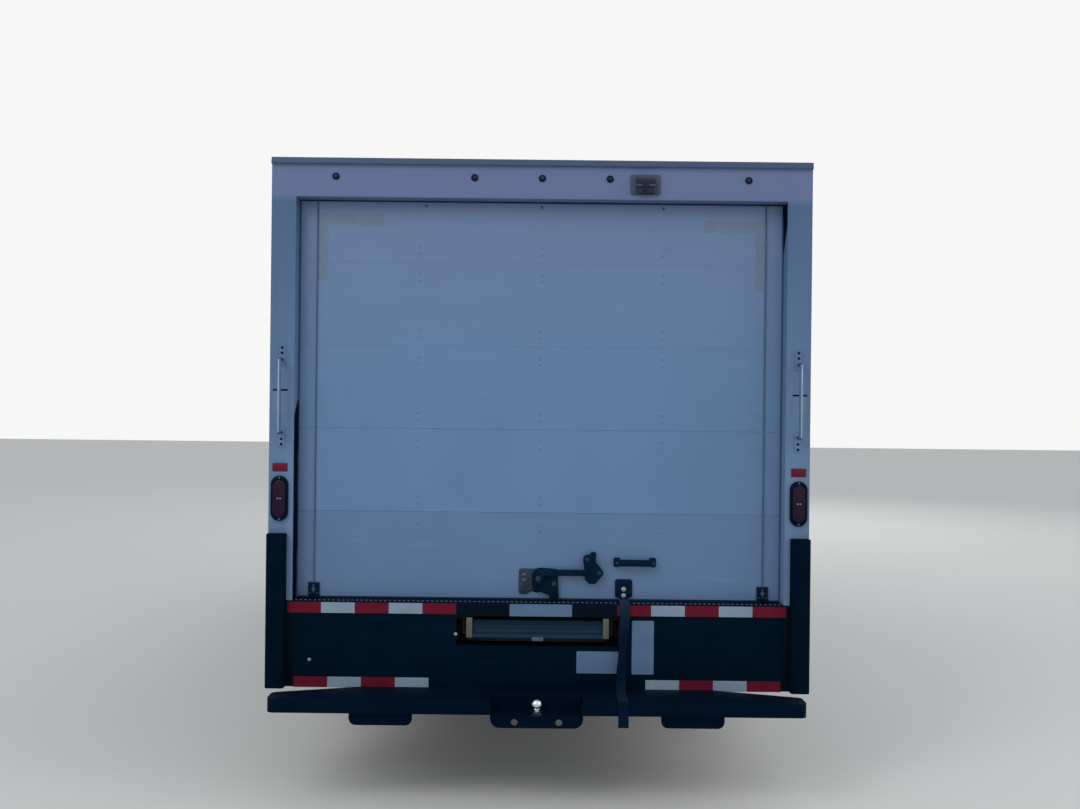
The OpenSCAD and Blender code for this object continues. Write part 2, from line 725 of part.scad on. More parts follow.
grille_bars = 5;
bar_h = 16;
module grille() {
    pitch = (grille_z[1] - grille_z[0]) / (grille_bars + 1);
    color("black") intersection() {
        cab_layer(-6, skin_t - 4);
        along_y(nose_split_y, far) difference() {
            shape(box_table(-grille_half, grille_half, grille_z[0], grille_z[1], 30), seat_gap);
            difference() {
                shape(box_table(-grille_half, grille_half, grille_z[0], grille_z[1], 30), 22);
                for (k = [1 : grille_bars]) translate([-grille_half, grille_z[0] + k * pitch - bar_h / 2])
                    square([2 * grille_half, bar_h]);
                for (x = [-grille_half / 3, grille_half / 3]) translate([x - 6, grille_z[0]])
                    square([12, grille_z[1] - grille_z[0]]);
            }
        }
    }
}

module headlamps() {
    color("white") intersection() {
        cab_layer(2, skin_t);
        lamp_prism(seat_gap);
    }
}

bumper_z = [490, 690];
front_bumper_out = 86;
front_bumper_t = 36;
module front_bumper() {
    color("silver") union() {
        difference() {
            along_z(bumper_z[0], bumper_z[1]) shape(plan_table(0), -front_bumper_out);
            along_z(0, far) shape(plan_table(-100), -front_bumper_out + front_bumper_t);
            block([-far, far], [-far, nose_y - 250], [0, far]);
        }
        both_sides() intersection() {
            block([rail_x - rail_flange, rail_x], [rail_y1, far], [rail_z + 40, rail_z + rail_h - 20]);
            along_z(0, far) shape(plan_table(0), -front_bumper_out + 4);
        }
    }
}

module windshield() {
    color([0.5, 0.6, 0.65, 0.4]) intersection() {
        cab_layer(glass_set, glass_set + glass_t);
        screen_prism(seat_gap);
        block([-far, far], [header_y - 60, far], [screen_low_z, roof_split_z - seat_gap]);
    }
}

module door() {
    difference() {
        union() {
            difference() {
                intersection() {
                    cab_skin();
                    door_prism(0);
                }
                window_prism(0);
            }
            at_door_hinges() {
                hinge_moving();
                hinge_leaf(-1, hinge_mid[0], hinge_mid[1]);
            }
        }
        at_door_hinges() moving_room();
    }
}
module door_glass() {
    intersection() {
        cab_layer(glass_set, glass_set + glass_t);
        window_prism(seat_gap);
    }
}

mirror_x = [cab_half_w + 90, cab_half_w + 290];
mirror_y = [door_front_y - 150, door_front_y - 80];
mirror_z = [belt_z - 110, belt_z + 190];
mirror_arm_zs = [belt_z - 85, belt_z - 30];
module mirror_unit() {
    union() {
        along_y(mirror_y[0], mirror_y[1]) shape(box_table(mirror_x[0], mirror_x[1], mirror_z[0], mirror_z[1], 45));
        for (z = mirror_arm_zs)
            difference() {
                rod_x(cab_half_w - 60, mirror_x[0] + 20, (mirror_y[0] + mirror_y[1]) / 2, z, 13);
                cab_body(-seat_gap, true);
            }
    }
}

seat_x = cab_half_w - 542;
seat_y = cab_back_y + 120;
cushion_z = cab_floor_z + cab_floor_t + 235;
module seat(x) {
    along_x(x - 240, x + 240) shape([[seat_y + 60, cushion_z - 90, 30], [seat_y + 540, cushion_z - 70, 50],
        [seat_y + 540, cushion_z + 60, 60], [seat_y + 250, cushion_z + 40, 40], [seat_y + 120, cushion_z + 600, 60],
        [seat_y + 10, cushion_z + 600, 50], [seat_y + 60, cushion_z + 150, 60]]);
    along_x(x - 120, x + 120) shape(box_table(seat_y + 20, seat_y + 110, cushion_z + 620, cushion_z + 790, 35));
    for (dx = [-60, 60]) rod_z(cushion_z + 590, cushion_z + 640, x + dx, seat_y + 66, 8);
    block([x - 200, x + 200], [seat_y + 130, seat_y + 490], [cab_floor_z + cab_floor_t, cushion_z - 60]);
}
module seats() { color("dimgray") both_sides() seat(seat_x); }

dash_depth = 330;
dash_table = [[firewall_y - 120, 930, 40], [firewall_y - seat_gap, 900, 0],
    [firewall_y - seat_gap, screen_low_z - 70, 0], [firewall_y - 160, screen_low_z - 75, 60],
    [firewall_y - dash_depth, 1200, 50], [firewall_y - 260, 1010, 50]];
wheel_tilt = 35;
wheel_centre = [-seat_x, firewall_y - dash_depth - 80, 1180];
steer_ring_r = 190;
hub_r = 62;
hub_low = 25;
column_r = 34;
column_top = hub_low + 7;
column_len = 230;
shaft_r = 20;
shaft_len = 40;
module at_wheel() { translate(wheel_centre) rotate([90 - wheel_tilt, 0, 0]) children(); }
module dashboard() {
    color([0.2, 0.2, 0.22]) difference() {
        union() {
            intersection() {
                cab_inside();
                along_x(-cab_half_w + 75, cab_half_w - 75) shape(dash_table);
            }
            at_wheel() translate([0, 0, -column_len]) cylinder(r = column_r, h = column_len - column_top);
        }
        at_wheel() translate([0, 0, -hub_low - shaft_len - 5]) cylinder(r = shaft_r + pin_gap, h = shaft_len);
    }
}
module steering_wheel() {
    color("black") at_wheel() union() {
        rotate_extrude() translate([steer_ring_r, 0]) circle(r = 15, $fn = 24);
        translate([0, 0, -hub_low]) cylinder(r = hub_r, h = hub_low + 20);
        for (a = [0, 180, 270]) rotate([0, 0, a]) translate([50, -18, -8]) cube([steer_ring_r - 55, 36, 14]);
        translate([0, 0, -hub_low - shaft_len]) cylinder(r = shaft_r, h = shaft_len + 2);
    }
}

// Box body
module box_floor() {
    color("burlywood") block([-box_half + sheet_set + wall_t, box_half - sheet_set - wall_t], [bay_y0, bay_y1],
        [deck_z - floor_t, deck_z]);
}

module floor_frame() {
    long_w = 60;
    color("black") union() {
        for (y = cross_ys) difference() {
            block([-box_half + sheet_set + wall_t, box_half - sheet_set - wall_t], [y - cross_w / 2, y + cross_w / 2],
                [cross_z, deck_z - floor_t]);
            block([-tray_half, tray_half], [y - cross_w, y + cross_w], [0, sill_z + 6]);
        }
        both_sides() {
            block([rail_x - long_w, rail_x], [bay_y0, bay_y1], [rail_z + rail_h, cross_z]);
            block([tray_half - tray_t, tray_half], [bay_y0, bay_y0 + ramp_len + 100],
                [ramp_z - seat_gap - tray_lip_t, sill_z + 6]);
            block([tray_half - tray_lip, tray_half], [bay_y0, bay_y0 + ramp_len + 100],
                [ramp_z - seat_gap - tray_lip_t, ramp_z - seat_gap]);
        }
    }
}

module box_sides() {
    sheet_x = box_half - sheet_set;
    inner_x = sheet_x - wall_t;
    low_rail_z = deck_z + 20;
    top_rail_z = roof_z - rail_top_h;
    color(paint) both_sides() along_y(bay_y0, box_front_y - corner_d) polygon([
        [inner_x, cross_z], [box_half, cross_z], [box_half, low_rail_z - sheet_set], [sheet_x, low_rail_z],
        [sheet_x, top_rail_z], [box_half, top_rail_z + sheet_set], [box_half, roof_z - 20], [box_half - 20, roof_z],
        [inner_x, roof_z]
    ]);
}

module box_front() {
    half_plan = [[box_half, box_front_y - corner_d, 0], [box_half, box_front_y, corner_r]];
    color(paint) intersection() {
        difference() {
            along_z(cross_z, roof_z) shape(mirrored(half_plan));
            along_z(0, far) shape(mirrored([[box_half - sheet_set - wall_t, box_front_y - 2 * corner_d, 0],
                [box_half - sheet_set - wall_t, bay_y1, 0]]));
        }
        along_x(-far / 2, far / 2) shape([[-far, 0, 0], [box_front_y, 0, 0], [box_front_y, roof_z, 70],
            [-far, roof_z, 0]]);
    }
}

module box_roof() {
    crown = 14;
    half = box_half - sheet_set - wall_t;
    color(paint) along_y(bay_y0, bay_y1)
        polygon([[-half, roof_z - roof_t - crown], [half, roof_z - roof_t - crown], [half, roof_z - crown],
            [half / 2, roof_z - crown / 4], [0, roof_z], [-half / 2, roof_z - crown / 4], [-half, roof_z - crown]]);
}

drip_h = 28;
drip_out = 16;
module rear_frame() {
    color(paint) union() {
        along_y(box_rear_y, bay_y0) difference() {
            polygon([[-box_half, leg_z], [-open_half, leg_z], [-open_half, sill_z], [open_half, sill_z],
                [open_half, leg_z], [box_half, leg_z], [box_half, roof_z], [-box_half, roof_z]]);
            polygon([[-open_half, deck_z], [open_half, deck_z], [open_half, header_z], [-open_half, header_z]]);
        }
        along_x(-box_half, box_half) polygon([[box_rear_y - drip_out, roof_z - drip_h],
            [box_rear_y, roof_z - drip_h - 6], [box_rear_y + 2, roof_z], [box_rear_y - drip_out + 6, roof_z]]);
    }
}

// Door panels from the sill up: the last one ends under the header
panel_count = floor((header_z - deck_z - low_panel_h) / panel_h);
panel_tops = [for (k = [0 : panel_count]) deck_z + low_panel_h + k * panel_h, header_z - seam];
module rollup_door() {
    color(paint) for (k = [0 : len(panel_tops) - 1]) {
        z0 = k == 0 ? deck_z + seat_gap : panel_tops[k - 1] + panel_gap;
        z1 = panel_tops[k];
        along_x(-door_half, door_half) polygon([[door_face_y, z0 + seam], [door_face_y + seam, z0],
            [door_face_y + door_t, z0], [door_face_y + door_t, z1], [door_face_y + seam, z1],
            [door_face_y, z1 - seam]]);
    }
}

cable_x = open_half - 83;
cable_r = 2.5;
anchor_z = deck_z + 40;
anchor_size = [50, 60, 12];
module lift_cables() {
    color("dimgray") both_sides() union() {
        rod_z(anchor_z, header_z - seat_gap, cable_x, door_face_y - 6, cable_r);
        block([cable_x - anchor_size[0] / 2, cable_x + anchor_size[0] / 2], [door_face_y - anchor_size[2], door_face_y],
            [anchor_z - anchor_size[1] / 2, anchor_z + anchor_size[1] / 2]);
    }
}

// Door hardware, in front of the door's face. Tables are (X, Z) outlines.
lock_plate = [[-88, 887, 12], [-52, 887, 20], [-28, 902, 20], [12, 887, 16], [12, 1003, 14], [-88, 1003, 14]];
lock_body = [[-28, 912, 30], [50, 886, 10], [54, 864, 6], [96, 864, 14], [92, 930, 20], [90, 1003, 10], [-28, 1010, 38]];
lock_pivot = [0, 962];
lever_bar = [[0, 975, 0], [240, 975, 8], [240, 1003, 8], [0, 1003, 12]];
lever_gap = 23;
lever_out = [36, 36, 38];
head_gap = 6;
pivot_pin_r = 13;
pivot_r = 26;
lever_head = [[214, 958, 8], [232, 941, 8], [262, 941, 10], [301, 989, 14], [262, 1040, 10], [262, 1083, 5],
    [241, 1083, 5], [236, 1070, 8], [212, 1070, 14], [204, 1046, 12], [210, 1010, 8]];
pull_x = 441;
pull_z = 1037;
pull_half = 94;
pull_foot = 24;
strap_x = 391;
strap_plate_z = 917;
strap_plate = [78, 84, 9];
strap_w = 45;
strap_t = 3;
strap_play = 1;
module door_piece(table, depth) { along_y(door_face_y - depth, door_face_y) shape(table); }

module door_lock() {
    door_piece(lock_plate, 6);
    door_piece(lock_body, 18);
    rod_y(door_face_y - lever_out[2] - 4, door_face_y, lock_pivot[0], lock_pivot[1], pivot_pin_r);
}
// The lever clears the lock body and the door. Its bar, head and boss end at lever_out from the door's face.
module lock_lever() {
    color("black") difference() {
        union() {
            along_y(door_face_y - lever_out[0] + 2, door_face_y - lever_gap) shape(lever_bar);
            along_y(door_face_y - lever_out[0], door_face_y - head_gap) shape(lever_head);
            rod_y(door_face_y - lever_out[2], door_face_y - lever_gap, lock_pivot[0], lock_pivot[1], pivot_r);
        }
        rod_y(door_face_y - 2 * lever_out[2], door_face_y, lock_pivot[0], lock_pivot[1], pivot_pin_r + pin_gap);
    }
}
module pull_handle() {
    bar_out = 40;
    bar_t = 14;
    along_z(pull_z - 15, pull_z + 15) shape([[pull_x - pull_half + pull_foot, door_face_y - bar_out + bar_t, 8],
        [pull_x - pull_half + pull_foot, door_face_y, 0], [pull_x - pull_half, door_face_y, 0],
        [pull_x - pull_half, door_face_y - bar_out, 14], [pull_x + pull_half, door_face_y - bar_out, 14],
        [pull_x + pull_half, door_face_y, 0], [pull_x + pull_half - pull_foot, door_face_y, 0],
        [pull_x + pull_half - pull_foot, door_face_y - bar_out + bar_t, 8]]);
    for (x = [pull_x - pull_half + pull_foot / 2, pull_x + pull_half - pull_foot / 2])
        door_piece(box_table(x - pull_foot / 2 - 3, x + pull_foot / 2 + 3, pull_z - 21, pull_z + 21, 8), 10);
}
// The strap's end is clamped in a slot between this plate and the door
module strap_clamp() {
    low_z = strap_plate_z - strap_plate[1] / 2;
    slot_d = strap_t + 2 * strap_play;
    difference() {
        door_piece(box_table(strap_x - strap_plate[0] / 2, strap_x + strap_plate[0] / 2,
            low_z, low_z + strap_plate[1], 12), strap_plate[2]);
        block([strap_x - strap_w / 2 - strap_play, strap_x + strap_w / 2 + strap_play],
            [door_face_y - slot_d, door_face_y + 1], [low_z - 1, strap_plate_z + strap_play]);
    }
}
module door_hardware() {
    color("black") {
        union() door_lock();
        pull_handle();
        strap_clamp();
    }
}

// Pull strap: flat webbing that hangs from its plate, over the sill and the bumper. Columns are [X, Y, Z].
step_z = [417, 477];
strap_stand = 5;
strap_lift = step_z[1] + 4;
strap_end_x = strap_x - 18;
strap_route = [
    [strap_x, door_face_y - 2.5, 914], [strap_x, door_face_y - 2.5, 876], [strap_x, door_face_y - 4.2, 870],
    [strap_x, door_face_y - 10, 866.8], [strap_x, door_face_y - 24, 866],
    [strap_x, box_rear_y + 12, 866], [strap_x, box_rear_y + 2, 865], [strap_x, box_rear_y - 6, 860],
    [strap_x, box_rear_y - 11, 850], [strap_x, box_rear_y - 14, 836], [strap_x, box_rear_y - 17, 800],
    [strap_x - 4, box_rear_y - 20, 720], [strap_x - 9, box_rear_y - 24, 640], [strap_x - 14, box_rear_y - 30, 560],
    [strap_x - 16, box_rear_y - 42, 508], [strap_end_x, box_rear_y - 66, strap_lift + 4],
    [strap_end_x, box_rear_y - 110, strap_lift], [strap_end_x, bumper_rear_y + 30, strap_lift],
    [strap_end_x, bumper_rear_y + 12, strap_lift], [strap_end_x, bumper_rear_y - 1, strap_lift - 1.4],
    [strap_end_x, bumper_rear_y - strap_stand, strap_lift - 8],
    [strap_end_x, bumper_rear_y - strap_stand, strap_lift - 54],
    [strap_end_x, bumper_rear_y - strap_stand, strap_lift - 112]
];
function strap_side(i) =
    let (
        n = len(strap_route),
        a = strap_route[max(i - 1, 0)],
        b = strap_route[min(i + 1, n - 1)],
        d = unit([b[1] - a[1], b[2] - a[2]])
    )
    [-d[1], d[0]] * strap_t / 2;
module pull_strap() {
    n = len(strap_route);
    points = [for (i = [0 : n - 1]) let (p = strap_route[i], s = strap_side(i))
        each [for (c = [[-1, -1], [1, -1], [1, 1], [-1, 1]])
            [p[0] + c[0] * strap_w / 2, p[1] + c[1] * s[0], p[2] + c[1] * s[1]]]];
    faces = concat([[0, 1, 2, 3]], [[4 * n - 1, 4 * n - 2, 4 * n - 3, 4 * n - 4]],
        [for (i = [0 : n - 2], k = [0 : 3]) [4 * i + k, 4 * i + 4 + k, 4 * i + 4 + (k + 1) % 4, 4 * i + (k + 1) % 4]]);
    color("slategray") polyhedron(points, faces, convexity = 4);
}

apron_t = 6;
pocket_half = tray_half + 22;
pocket_z = ramp_z - 36;
module apron() {
    color([0.03, 0.07, 0.12]) union() {
        along_y(box_rear_y + 2, box_rear_y + 2 + apron_t) polygon([[-open_half, leg_z], [open_half, leg_z],
            [open_half, sill_z], [pocket_half, sill_z], [pocket_half, pocket_z], [-pocket_half, pocket_z],
            [-pocket_half, sill_z], [-open_half, sill_z]]);
        block([-open_half, open_half], [box_rear_y + 2, box_rear_y + 72], [leg_z, leg_z + apron_t]);
        block([-pocket_half, pocket_half], [box_rear_y + 2, bay_y0], [pocket_z - apron_t, pocket_z]);
    }
}

slat_pitch = 100;
slat_h = 4;
ramp_y0 = box_rear_y + 4;
module ramp() {
    lip = 30;
    color("silver") union() {
        both_sides() along_y(ramp_y0, ramp_y0 + ramp_len) polygon([[ramp_half - ramp_rail_w, ramp_z], [ramp_half, ramp_z],
            [ramp_half, ramp_top_z], [ramp_half - ramp_rail_w, ramp_top_z]]);
        block([-ramp_half, ramp_half], [ramp_y0 + 2, ramp_y0 + ramp_len], [ramp_deck_z, ramp_deck_z + ramp_deck_t]);
        block([-ramp_half, ramp_half], [ramp_y0, ramp_y0 + lip], [ramp_z + 1, ramp_deck_z + ramp_deck_t]);
        for (y = [ramp_y0 + 60 : slat_pitch : ramp_y0 + ramp_len - 60])
            block([-ramp_half, ramp_half], [y, y + 18], [ramp_deck_z, ramp_deck_z + ramp_deck_t + slat_h]);
        block([-26, 26], [ramp_y0 - 6, ramp_y0 + 2], [ramp_z - 11, ramp_z + 6]);
    }
}

// Rear step bumper: an upturned pan with a lowered tow plate and two brackets
step_half = box_half - 54;
step_t = 6;
step_front_y = box_rear_y - 8;
tow_half = 200;
tow_z = [362, 413];
tow_d = 110;
chain_x = 96;
chain_z = tow_z[0] + 24;
chain_r = 15;
bracket_x = [538, 812];
module step_plan(inset) {
    shape(concat([[step_half, bumper_rear_y, 30], [step_half, bumper_rear_y + 110, 30], [790, step_front_y, 40]],
        [[-790, step_front_y, 40], [-step_half, bumper_rear_y + 110, 30], [-step_half, bumper_rear_y, 30]]), inset);
}
module rear_bumper() {
    color([0.02, 0.05, 0.1]) difference() {
        union() {
            difference() {
                along_z(step_z[0], step_z[1]) step_plan(0);
                along_z(0, step_z[1] - step_t) step_plan(step_t);
                block([-tow_half, tow_half], [bumper_rear_y - 1, bumper_rear_y + tow_d], [tow_z[1], far]);
            }
            along_y(bumper_rear_y, bumper_rear_y + step_t + 2)
                shape(mirrored([[tow_half, tow_z[0], 40], [tow_half, step_z[1] - 20, 0]]));
            block([-tow_half, tow_half], [bumper_rear_y, bumper_rear_y + tow_d + step_t], [tow_z[1] - 10, tow_z[1]]);
            block([-tow_half - step_t, tow_half + step_t], [bumper_rear_y + tow_d, bumper_rear_y + tow_d + step_t],
                [tow_z[1] - 10, step_z[1]]);
            both_sides() {
                along_y(bumper_rear_y + 20, bumper_rear_y + 20 + step_t)
                    shape(box_table(bracket_x[0], bracket_x[1], step_z[0] - 55, step_z[1] - step_t, 30));
                block([rail_x - rail_flange, rail_x], [bumper_rear_y + step_t, rail_y0], [rail_z, leg_z - 2]);
            }
        }
        block([-tow_half + step_t, tow_half - step_t], [bumper_rear_y - 1, bumper_rear_y + tow_d], [tow_z[1], far]);
        both_sides() rod_y(bumper_rear_y - 1, bumper_rear_y + step_t + 3, chain_x, chain_z, chain_r);
    }
}

ball_r = 25.4;
ball_y = bumper_rear_y + 55;
module hitch_ball() {
    color("silver") translate([0, ball_y, tow_z[1] + seat_gap]) rotate_extrude()
        polygon(concat([[0, 0], [24, 0], [24, 8], [14, 12], [14, 16]],
            [for (a = [-55 : 10 : 85]) [ball_r * cos(a), 16 + ball_r * sin(55) + ball_r * sin(a)]],
            [[0, 16 + ball_r * sin(55) + ball_r]]));
}

guard_w = 86;
guard_t = 45;
guard_z = [leg_z, 1163];
module dock_bumpers() {
    color([0.02, 0.06, 0.1]) both_sides() along_z(guard_z[0], guard_z[1])
        shape([[box_half - guard_w, box_rear_y - guard_t, 14], [box_half, box_rear_y - guard_t, 14],
            [box_half, box_rear_y, 0], [box_half - guard_w, box_rear_y, 0]]);
}

// Rear lamps
tail_x = box_half - 51;
tail_z = 1319;
tail_len = 165;
tail_r = 28.5;
grommet_r = 39;
grommet_len = 203;
marker_pitch = 305;
marker_end = box_half - 289;
marker_xs = [-marker_end, -marker_pitch, 0, marker_pitch, marker_end];
marker_z = roof_z - 83;
marker_r = 10;
marker_ring_r = 16;
reflector_z = 1459;
reflector = [68, 38, 3];
module oval(y0, y1, r, length) {
    reach = length / 2 - r;
    union() {
        rod_y(y0, y1, tail_x, tail_z - reach, r);
        rod_y(y0, y1, tail_x, tail_z + reach, r);
        block([tail_x - r, tail_x + r], [y0, y1], [tail_z - reach, tail_z + reach]);
    }
}
module lamp_grommets() {
    color("black") {
        both_sides() difference() {
            oval(box_rear_y - 12, box_rear_y, grommet_r, grommet_len);
            oval(box_rear_y - 13, box_rear_y - 4, tail_r + seat_gap, tail_len + 2 * seat_gap);
        }
        for (x = marker_xs) difference() {
            rod_y(box_rear_y - 5, box_rear_y, x, marker_z, marker_ring_r);
            rod_y(box_rear_y - 6, box_rear_y - 2, x, marker_z, marker_r + seat_gap);
        }
    }
}
module red_lamps() {
    color("darkred") {
        both_sides() oval(box_rear_y - 17, box_rear_y - 4, tail_r, tail_len);
        for (x = marker_xs) translate([x, box_rear_y - 2, marker_z]) rotate([90, 0, 0])
            rotate_extrude() polygon([[0, 0], [marker_r, 0], [marker_r, 5], [marker_r * 0.7, 9], [0, 10]]);
        both_sides() block([tail_x - reflector[0] / 2, tail_x + reflector[0] / 2],
            [box_rear_y - reflector[2], box_rear_y],
            [reflector_z - reflector[1] / 2, reflector_z + reflector[1] / 2]);
    }
}

// Amber clearance lamps on the box's front and sides
amber_z = roof_z - 55;
amber = [90, 34, 14];
amber_ys = [box_front_y - corner_d - 80, (bay_y0 + box_front_y) / 2];
module amber_lamps() {
    color("orange") {
        for (x = marker_xs) block([x - amber[0] / 2, x + amber[0] / 2], [box_front_y, box_front_y + amber[2]],
            [amber_z - amber[1] - 40, amber_z - 40]);
        both_sides() for (y = amber_ys) block([box_half, box_half + amber[2]], [y - amber[0] / 2, y + amber[0] / 2],
            [amber_z - amber[1], amber_z]);
    }
}

camera_x = 464;
camera_drop = 108;
camera_z = roof_z - camera_drop;
camera_plate = [135, 90, 6];
module rear_camera() {
    face_y = box_rear_y - camera_plate[2];
    color("gray") union() {
        along_y(face_y, box_rear_y) shape(box_table(camera_x - camera_plate[0] / 2, camera_x + camera_plate[0] / 2,
            camera_z - camera_plate[1] / 2, camera_z + camera_plate[1] / 2, 10));
        along_x(camera_x - 42, camera_x + 42) shape([[face_y, camera_z - 26, 0], [face_y, camera_z + 30, 0],
            [face_y - 34, camera_z + 22, 8], [face_y - 26, camera_z - 14, 6]]);
        translate([camera_x, face_y - 20, camera_z]) rotate([112, 0, 0]) cylinder(r = 14, h = 20);
    }
}

handle_x = box_half - 56;
handle_z = [1575, 1986];
handle_rise = 42;
handle_r = 8;
handle_out = 55;
foot_reach = 22;
module grab_handles() {
    color("lightsteelblue") both_sides() union() {
        rod_z(handle_z[0] + handle_rise, handle_z[1] - handle_rise, handle_x, box_rear_y - handle_out, handle_r);
        for (z = [handle_z[0] + handle_rise, handle_z[1] - handle_rise]) {
            rod_y(box_rear_y - handle_out, box_rear_y, handle_x, z, handle_r);
            translate([handle_x, box_rear_y - handle_out, z]) sphere(r = handle_r);
        }
        block([handle_x - 15, handle_x + 15], [box_rear_y - 4, box_rear_y],
            [handle_z[0] - foot_reach, handle_z[0] + handle_rise + foot_reach]);
        block([handle_x - 15, handle_x + 15], [box_rear_y - 4, box_rear_y],
            [handle_z[1] - handle_rise - foot_reach, handle_z[1] + foot_reach]);
    }
}

flap_x = [rear_track_half - 240, rear_track_half + 240];
flap_t = 8;
flap_low_z = 190;
module mud_flaps() {
    color([0.04, 0.04, 0.04]) both_sides() block(flap_x, [flap_y - flap_t / 2, flap_y + flap_t / 2],
        [flap_low_z, cross_z]);
}

ladder_frame();
springs();
front_axle();
color("dimgray") on_side(-1) knuckle();  // knuckle_left
color("dimgray") on_side(1) knuckle();  // knuckle_right
tie_rod();
rear_axle();
front_rim_at(-1);  // front_rim_left
front_tyre_at(-1);  // front_tyre_left
front_rim_at(1);  // front_rim_right
front_tyre_at(1);  // front_tyre_right
rear_rims_at(-1);  // rear_rims_left
rear_tyres_at(-1);  // rear_tyres_left
rear_rims_at(1);  // rear_rims_right
rear_tyres_at(1);  // rear_tyres_right
powertrain();
exhaust();
fuel_tank();
cab_floor();
cab_shell();
cab_sides();
firewall();
fenders();
nose_panel();
hood();
grille();
headlamps();
front_bumper();
windshield();
color(paint) on_side(-1) door();  // door_left
color(paint) on_side(1) door();  // door_right
color([0.5, 0.6, 0.65, 0.4]) on_side(-1) door_glass();  // door_glass_left
color([0.5, 0.6, 0.65, 0.4]) on_side(1) door_glass();  // door_glass_right
color("black") on_side(-1) mirror_unit();  // mirror_left
color("black") on_side(1) mirror_unit();  // mirror_right
seats();
dashboard();
steering_wheel();
box_floor();
floor_frame();
box_sides();
box_front();
box_roof();
rear_frame();
rollup_door();
lift_cables();
door_hardware();
lock_lever();
pull_strap();
apron();
ramp();
rear_bumper();
hitch_ball();
dock_bumpers();
lamp_grommets();
red_lamps();
amber_lamps();
rear_camera();
grab_handles();
mud_flaps();
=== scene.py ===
"""Dresses the cutaway van: paint, tape, fasteners, tyre tread, seats, strap and the studio stage."""

import math

import bmesh
import bpy
from bpy.props import FloatProperty, FloatVectorProperty, IntProperty, PointerProperty
from mathutils import Matrix, Vector


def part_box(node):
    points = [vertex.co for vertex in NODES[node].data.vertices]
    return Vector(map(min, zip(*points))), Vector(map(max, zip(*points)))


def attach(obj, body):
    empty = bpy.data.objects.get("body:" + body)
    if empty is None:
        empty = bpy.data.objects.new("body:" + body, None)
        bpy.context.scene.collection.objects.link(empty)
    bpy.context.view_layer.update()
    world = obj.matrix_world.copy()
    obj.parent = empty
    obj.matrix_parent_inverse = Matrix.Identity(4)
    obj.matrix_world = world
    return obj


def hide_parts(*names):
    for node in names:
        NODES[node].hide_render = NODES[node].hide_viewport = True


bl_info = {
    "name": "Cutaway Van Dresser",
    "version": (1, 0, 0),
    "blender": (4, 5, 0),
    "location": "View3D > Sidebar > Van",
    "description": "Finishes and small parts of a cutaway van with a box body",
    "category": "Object",
}

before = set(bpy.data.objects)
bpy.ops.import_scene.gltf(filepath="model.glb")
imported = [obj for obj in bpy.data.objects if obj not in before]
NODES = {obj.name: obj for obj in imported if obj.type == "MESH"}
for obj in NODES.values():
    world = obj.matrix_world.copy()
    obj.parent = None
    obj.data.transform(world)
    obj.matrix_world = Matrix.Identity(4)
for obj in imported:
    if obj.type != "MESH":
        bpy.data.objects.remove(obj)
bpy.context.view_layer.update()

# Places on the frame, in metres
SILL_HIGH = 0.860
REAR_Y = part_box("dock_bumpers")[1].y
DOOR_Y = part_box("rollup_door")[0].y
BUMPER_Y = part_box("rear_bumper")[0].y
APRON_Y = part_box("apron")[0].y
BOX_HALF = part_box("box_sides")[1].x
FRONT_AXLE_Y = (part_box("front_tyre_left")[0].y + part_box("front_tyre_left")[1].y) / 2
REAR_AXLE_Y = (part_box("rear_tyres_left")[0].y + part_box("rear_tyres_left")[1].y) / 2
TYRE_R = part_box("front_tyre_left")[1].z / 2
SIDES = (("left", -1), ("right", 1))
BACK = (0, -1, 0)


def linear(red, green, blue):
    """An 8 bit display colour as the linear colour that shaders take."""
    shares = (red / 255, green / 255, blue / 255)
    return tuple(c / 12.92 if c <= 10 / 255 else ((c + 0.055) / 1.055) ** 2.4 for c in shares)


def colour_prop(name, description, red, green, blue):
    return FloatVectorProperty(
        name=name,
        description=description,
        subtype="COLOR",
        size=3,
        min=0.0,
        max=1.0,
        default=linear(red, green, blue),
    )


